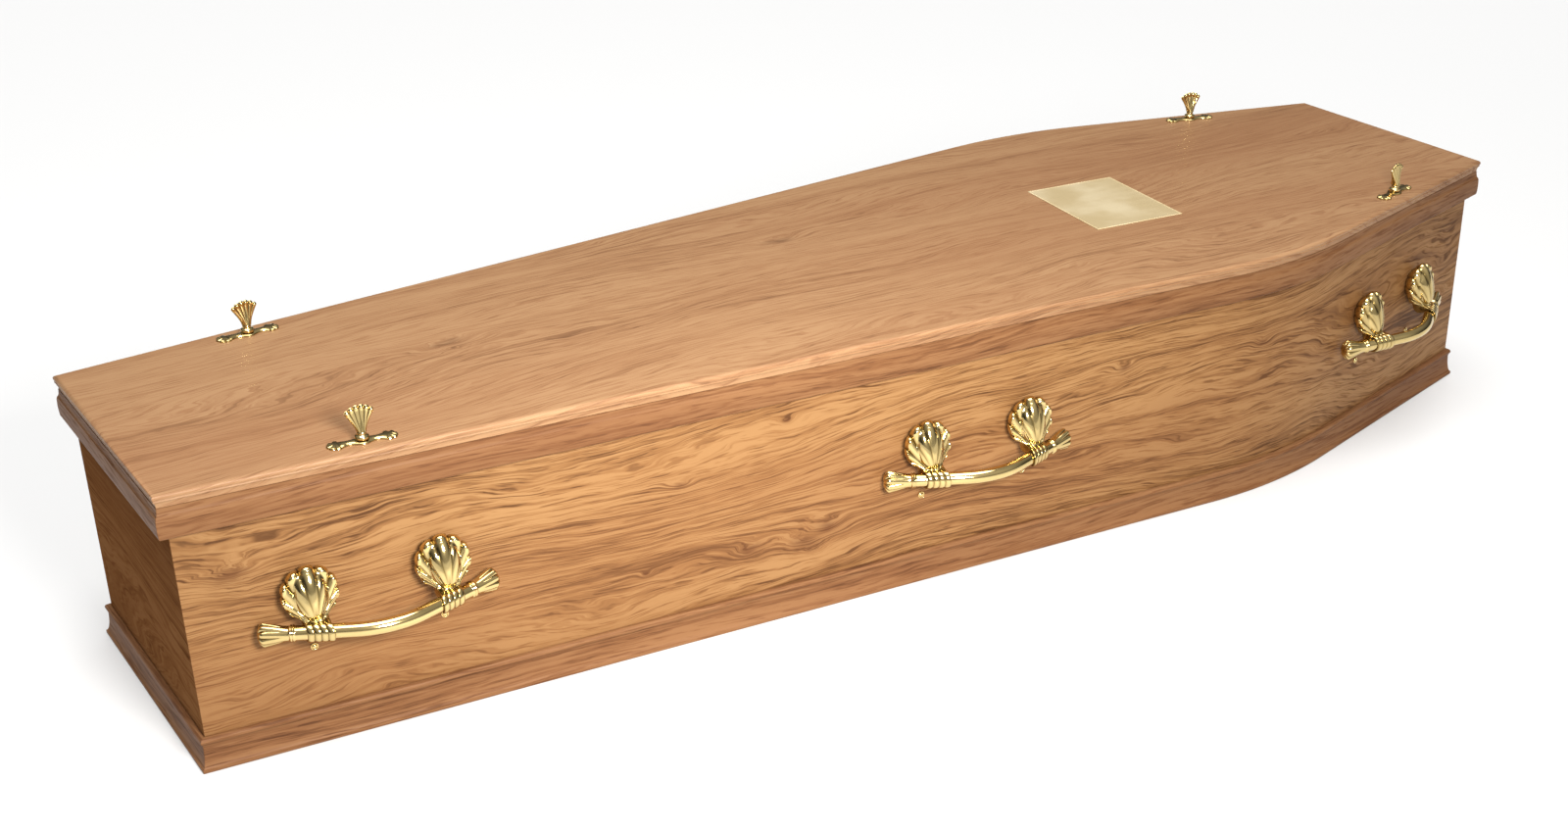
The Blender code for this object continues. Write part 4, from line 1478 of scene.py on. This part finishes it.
    def build(self, name: str, place: Matrix, material: bpy.types.Material) -> None:
        """Make one wreath holder.

        Args:
            name: Side and place, such as left_foot.
            place: Where it stands on the lid.
            material: The brass.
        """
        plate = self.plate_shape().build(f"brass_plate_{name}", place, 45.0)
        dress(plate, material, "polished_brass", f"holder_plate_{name}")
        fan = self.fan_shape().build(f"brass_fan_{name}", place, 60.0)
        dress(fan, material, "polished_brass", f"holder_fan_{name}")


@dataclass
class Nameplate:
    """The bare nameplate: a thin sheet with a fine beaded border, a little askew on the lid."""

    along: float = 0.136
    across: float = 0.178
    thickness: float = 0.0012
    from_head: float = 0.560
    off_centre: float = -0.020
    turn: float = math.radians(-6.0)
    bead_pitch: float = 0.0026
    border: float = 0.0030
    samples: int = 6

    def perimeter(self) -> tuple[np.ndarray, np.ndarray, np.ndarray]:
        """The plate's edge as points, inward moves and the bead wave.

        Returns:
            Points (n, 2), moves (n, 2) towards the inside, and 0 to 1 along each bead (n,).
        """
        half = np.array([self.along / 2, self.across / 2])
        corners = np.array([[-1, -1], [1, -1], [1, 1], [-1, 1], [-1, -1]]) * half
        points, moves, waves = [], [], []
        for start, end in zip(corners, corners[1:]):
            length = float(np.linalg.norm(end - start))
            beads = round(length / self.bead_pitch)
            share = np.linspace(0.0, 1.0, beads * self.samples + 1)[:-1]
            line = start + (end - start) * share[:, None]
            run = (end - start) / length
            inward = np.array([-run[1], run[0]]) * np.ones((len(share), 1))
            inward[0] = -np.sign(start)
            points.append(line)
            moves.append(inward)
            waves.append(np.abs(np.sin(np.pi * beads * share)))
        return np.concatenate(points), np.concatenate(moves), np.concatenate(waves)

    def build(self, plan: Plan, top: float, material: bpy.types.Material) -> None:
        """Make the nameplate: rings of its edge drawn in, with a row of beads near the border.

        Args:
            plan: The box's plan.
            top: Height of the lid's face.
            material: The plate's brass.
        """
        points, moves, wave = self.perimeter()
        inset = np.array([0.0, 0.0, 0.0002, 0.0006, 0.0012, 0.0018, 0.0023, self.border])
        base = np.array([0.0, 0.35, 0.5, 0.55, 0.6, 0.55, 0.5, 0.5]) * self.thickness
        lift = np.array([0.0, 0.0, 0.1, 0.8, 1.0, 0.8, 0.1, 0.0]) * self.thickness * 0.4
        flat = points[None] + moves[None] * inset[:, None, None]
        keep = np.minimum(np.abs(flat), np.array([self.along / 2, self.across / 2]) - inset[:, None, None])
        grid = lifted(np.sign(flat) * keep, GAP + base[:, None] + lift[:, None] * wave)
        # Relief that is 1 in the gaps between the beads, where the plate's brass paints its shade.
        shape = Shape.metal(grid, (lift / lift.max())[:, None] * (1.0 - wave))
        spot = Vector((plan.length / 2 - self.from_head, self.off_centre, top))
        place = Matrix.Translation(spot) @ Matrix.Rotation(self.turn, 4, "Z")
        dress(shape.build("brass_nameplate", place), material, "nameplate_brass", "nameplate")


@dataclass
class Fittings:
    """Where the handles and the wreath holders stand."""

    plan: Plan
    lid: Lid
    foot_handle: float = 0.2015
    middle_handle: float = 0.9555
    head_handle: float = 0.272
    handle_height: float = 0.1518
    holder_from_foot: float = 0.2105
    holder_from_head: float = 0.196
    holder_inset: float = 0.0250

    def handle_spots(self) -> list[tuple[str, np.ndarray, np.ndarray]]:
        """Word, place and direction of the left side's three handles.

        Returns:
            One row for each handle.
        """
        long_run, short_run = self.plan.runs()
        foot = self.plan.foot_corner
        return [("foot", foot + long_run * self.foot_handle, long_run),
                ("middle", foot + long_run * self.middle_handle, long_run),
                ("head", self.plan.shoulder + short_run * self.head_handle, short_run)]

    def holder_spots(self) -> list[tuple[str, np.ndarray, np.ndarray]]:
        """Word, place and direction of the left side's two wreath holders.

        Returns:
            One row for each holder.
        """
        long_run, short_run = self.plan.runs()
        long_face, short_face = self.plan.faces()
        inset = self.holder_inset - self.lid.overhang
        foot = self.plan.foot_corner + long_run * self.holder_from_foot / long_run[0] - long_face * inset
        head = self.plan.head_corner - short_run * self.holder_from_head / short_run[0] - short_face * inset
        return [("foot", foot, long_run), ("head", head, short_run)]

    @staticmethod
    def stand(spot: np.ndarray, run: np.ndarray, height: float, side: Side) -> Matrix:
        """The place of a fitting on one side.

        Args:
            spot: Its place on the left side.
            run: The wall's direction there.
            height: Its height.
            side: The side that it goes on.

        Returns:
            The fitting's transform, turned half round on the right side.
        """
        turn = math.atan2(run[1], run[0])
        if side is Side.RIGHT:
            turn = math.pi - turn
        where = Vector((spot[0], -spot[1] * side.value, height))
        return Matrix.Translation(where) @ Matrix.Rotation(turn, 4, "Z")

    def build(self, brass: bpy.types.Material, pale: bpy.types.Material) -> None:
        """Make every brass fitting.

        Args:
            brass: The fittings' brass.
            pale: The nameplate's brass.
        """
        for side in Side:
            word = side.name.lower()
            ends = ("foot", "head") if side is Side.LEFT else ("head", "foot")
            for place, spot, run in self.handle_spots():
                stand = self.stand(spot, run, self.handle_height, side)
                BarHandle().build(f"{word}_{place}", stand, ends, brass)
            for place, spot, run in self.holder_spots():
                WreathHolder().build(f"{word}_{place}", self.stand(spot, run, self.lid.top, side), brass)
        Nameplate().build(self.plan, self.lid.top, pale)


@dataclass(frozen=True)
class Lamp:
    """A soft rectangular light that looks at a point."""

    name: str
    place: tuple[float, float, float]
    aim: tuple[float, float, float]
    size: tuple[float, float]
    power: float
    tint: tuple[float, float, float]
    spread: float

    def build(self) -> None:
        """Put the light into the scene."""
        data = bpy.data.lights.new(self.name, "AREA")
        data.shape = "RECTANGLE"
        data.size, data.size_y = self.size
        data.energy = self.power
        data.color = self.tint
        data.spread = math.radians(self.spread)
        lamp = bpy.data.objects.new(self.name, data)
        lamp.location = self.place
        look = Vector(self.aim) - Vector(self.place)
        lamp.rotation_euler = look.to_track_quat("-Z", "Y").to_euler()
        bpy.context.scene.collection.objects.link(lamp)


@dataclass
class Studio:
    """Camera at the photograph's angle, pale floor and soft light."""

    focal_pixels: float = 2145.0
    azimuth: float = -33.85
    elevation: float = 27.68
    roll: float = -0.15
    target: tuple[float, float, float] = (0.0, -0.056, -0.0453)
    distance: float = 2.8475
    centre_pixel: tuple[float, float] = (900.0, 544.0)
    sensor: float = 36.0
    floor_half: float = 40.0
    floor_drop: float = 0.0005
    sky: float = 0.36
    wall: tuple[float, float, float] = (0.05, -0.97, 0.24)
    wall_light: float = 0.34
    horizon_light: float = 0.025
    overhead: float = 3.25
    overhead_spread: float = 50.0
    key: Lamp = Lamp("key", (-0.72, -1.85, 1.12), (-0.30, -0.22, 0.18), (0.5, 0.4), 21.0,
                     (1.0, 0.98, 0.95), 90.0)

    def build_camera(self) -> None:
        """Set the camera from its azimuth, elevation and roll round the target."""
        azimuth, elevation = math.radians(self.azimuth), math.radians(self.elevation)
        back = Vector((math.sin(azimuth) * math.cos(elevation), -math.cos(azimuth) * math.cos(elevation),
                       math.sin(elevation)))
        right = Vector((0.0, 0.0, 1.0)).cross(back).normalized()
        up = back.cross(right)
        turn = Matrix((right, up, back)).transposed() @ Matrix.Rotation(math.radians(self.roll), 3, "Z")
        data = bpy.data.cameras.new("camera")
        data.sensor_width = self.sensor
        data.lens = self.focal_pixels / PHOTO_WIDTH * self.sensor
        data.shift_x = (PHOTO_WIDTH / 2 - self.centre_pixel[0]) / PHOTO_WIDTH
        data.shift_y = (self.centre_pixel[1] - PHOTO_HEIGHT / 2) / PHOTO_WIDTH
        camera = bpy.data.objects.new("camera", data)
        camera.matrix_world = Matrix.Translation(Vector(self.target) + back * self.distance) @ turn.to_4x4()
        bpy.context.scene.collection.objects.link(camera)
        bpy.context.scene.camera = camera

    def build_floor(self) -> None:
        """A wide pale floor just under the coffin."""
        mesh = bpy.data.meshes.new("floor")
        corners = [(x * self.floor_half, y * self.floor_half, -self.floor_drop)
                   for x, y in ((-1, -1), (1, -1), (1, 1), (-1, 1))]
        mesh.from_pydata(corners, [], [(0, 1, 2, 3)])
        ground = bpy.data.objects.new("floor", mesh)
        ground.data.materials.append(FloorFinish().build())
        bpy.context.scene.collection.objects.link(ground)

    def build_overhead(self) -> None:
        """A broad even light straight from above, which leaves the upright faces to the key light."""
        data = bpy.data.lights.new("overhead", "SUN")
        data.energy = self.overhead
        data.angle = math.radians(self.overhead_spread)
        bpy.context.scene.collection.objects.link(bpy.data.objects.new("overhead", data))

    def build_world(self) -> None:
        """A sky bright overhead and dim at the horizon, with a pale wall before the near side to mirror.

        Its strength is the sky's ramp by height plus the wall's share, which rises smoothly as a
        direction nears the wall's middle.
        """
        world = bpy.data.worlds.new("studio air")
        world.use_nodes = True
        bpy.context.scene.world = world
        graph = Graph(world.node_tree)
        place = graph.node("ShaderNodeTexCoord", {}, {}).outputs["Generated"]
        height = Value(graph, graph.node("ShaderNodeSeparateXYZ", {}, {0: place}).outputs[2])
        towards = Value(graph, graph.node("ShaderNodeVectorMath", {"operation": "DOT_PRODUCT"},
                                          {0: place, 1: self.wall}).outputs["Value"])
        light = height.step_up(0.05, 0.90) * self.sky + self.horizon_light
        light = light + towards.step_up(0.40, 0.97) * self.wall_light
        background = world.node_tree.nodes["Background"]
        graph.feed(background.inputs["Color"], (1.0, 0.99, 0.96, 1.0))
        graph.feed(background.inputs["Strength"], light)

    def build(self) -> None:
        """Make the camera, the floor, the sky and the lights."""
        self.build_camera()
        self.build_floor()
        self.build_world()
        self.key.build()
        self.build_overhead()
        bpy.context.scene.view_settings.view_transform = "Standard"


def oak_finishes() -> dict[Grain, bpy.types.Material]:
    """The oak of each kind of board, with painted shade in the darker tones of the two end boards, and the
    raw board of the floor.

    Returns:
        The materials by grain.
    """
    side_knots = (Knot(0.054, 0.220, 0.013), Knot(0.650, 0.099, 0.009), Knot(0.722, 0.089, 0.013),
                  Knot(0.757, 0.105, 0.010), Knot(0.567, 0.205, 0.006), Knot(0.516, 0.102, 0.003),
                  Knot(0.698, 0.256, 0.004), Knot(1.402, 0.210, 0.007), Knot(1.183, 0.223, 0.006))
    lid_knots = (Knot(-0.55, 0.02, 0.012), Knot(-0.06, 0.10, 0.012), Knot(0.40, -0.06, 0.010))
    far_knots = (Knot(1.2, 0.15, 0.012), Knot(0.35, 0.22, 0.008))
    # The end boards get darker, duller tones than the sides: painted shade, for ends that stand across the
    # light.
    end = {"light": linear(130, 90, 56), "middle": linear(116, 76, 44), "dark": linear(84, 52, 28),
           "stain": linear(108, 68, 40), "contrast": 0.8, "sheen": 0.0, "gloss": 0.6}
    finishes = [
        OakFinish("oak of the lid", Grain.LID, light=linear(156, 120, 86), middle=linear(142, 104, 72),
                  dark=linear(104, 72, 48), stain=linear(134, 92, 62), wander=0.30, contrast=0.66,
                  gloss=0.36, sheen=0.16, knots=lid_knots),
        OakFinish("oak of the left side", Grain.LEFT, knots=side_knots),
        OakFinish("oak of the right side", Grain.RIGHT, knots=far_knots),
        OakFinish("oak of the foot end", Grain.FOOT, **end),
        OakFinish("oak of the head end", Grain.HEAD, **end),
        OakFinish("oak of the mouldings", Grain.TRIM, light=linear(126, 89, 58), middle=linear(110, 73, 45),
                  dark=linear(76, 47, 28), stain=linear(100, 61, 38), wander=0.10, contrast=0.8),
        OakFinish("raw board", Grain.RAW, light=linear(206, 176, 134), middle=linear(190, 158, 116),
                  dark=linear(160, 126, 88), gloss=0.7),
    ]
    return {finish.grain: finish.build() for finish in finishes}


def main() -> None:
    """Build the studio, then the coffin piece by piece."""
    logging.basicConfig(level=logging.INFO, format="%(name)s %(message)s")
    Studio().build()
    plan = Plan()
    oak = oak_finishes()
    Box(plan).build(oak)
    lid = Lid(plan)
    lid.build(oak)
    Fittings(plan, lid).build(BrassFinish().build(), NameplateFinish().build())


if __name__ == "__main__":
    main()
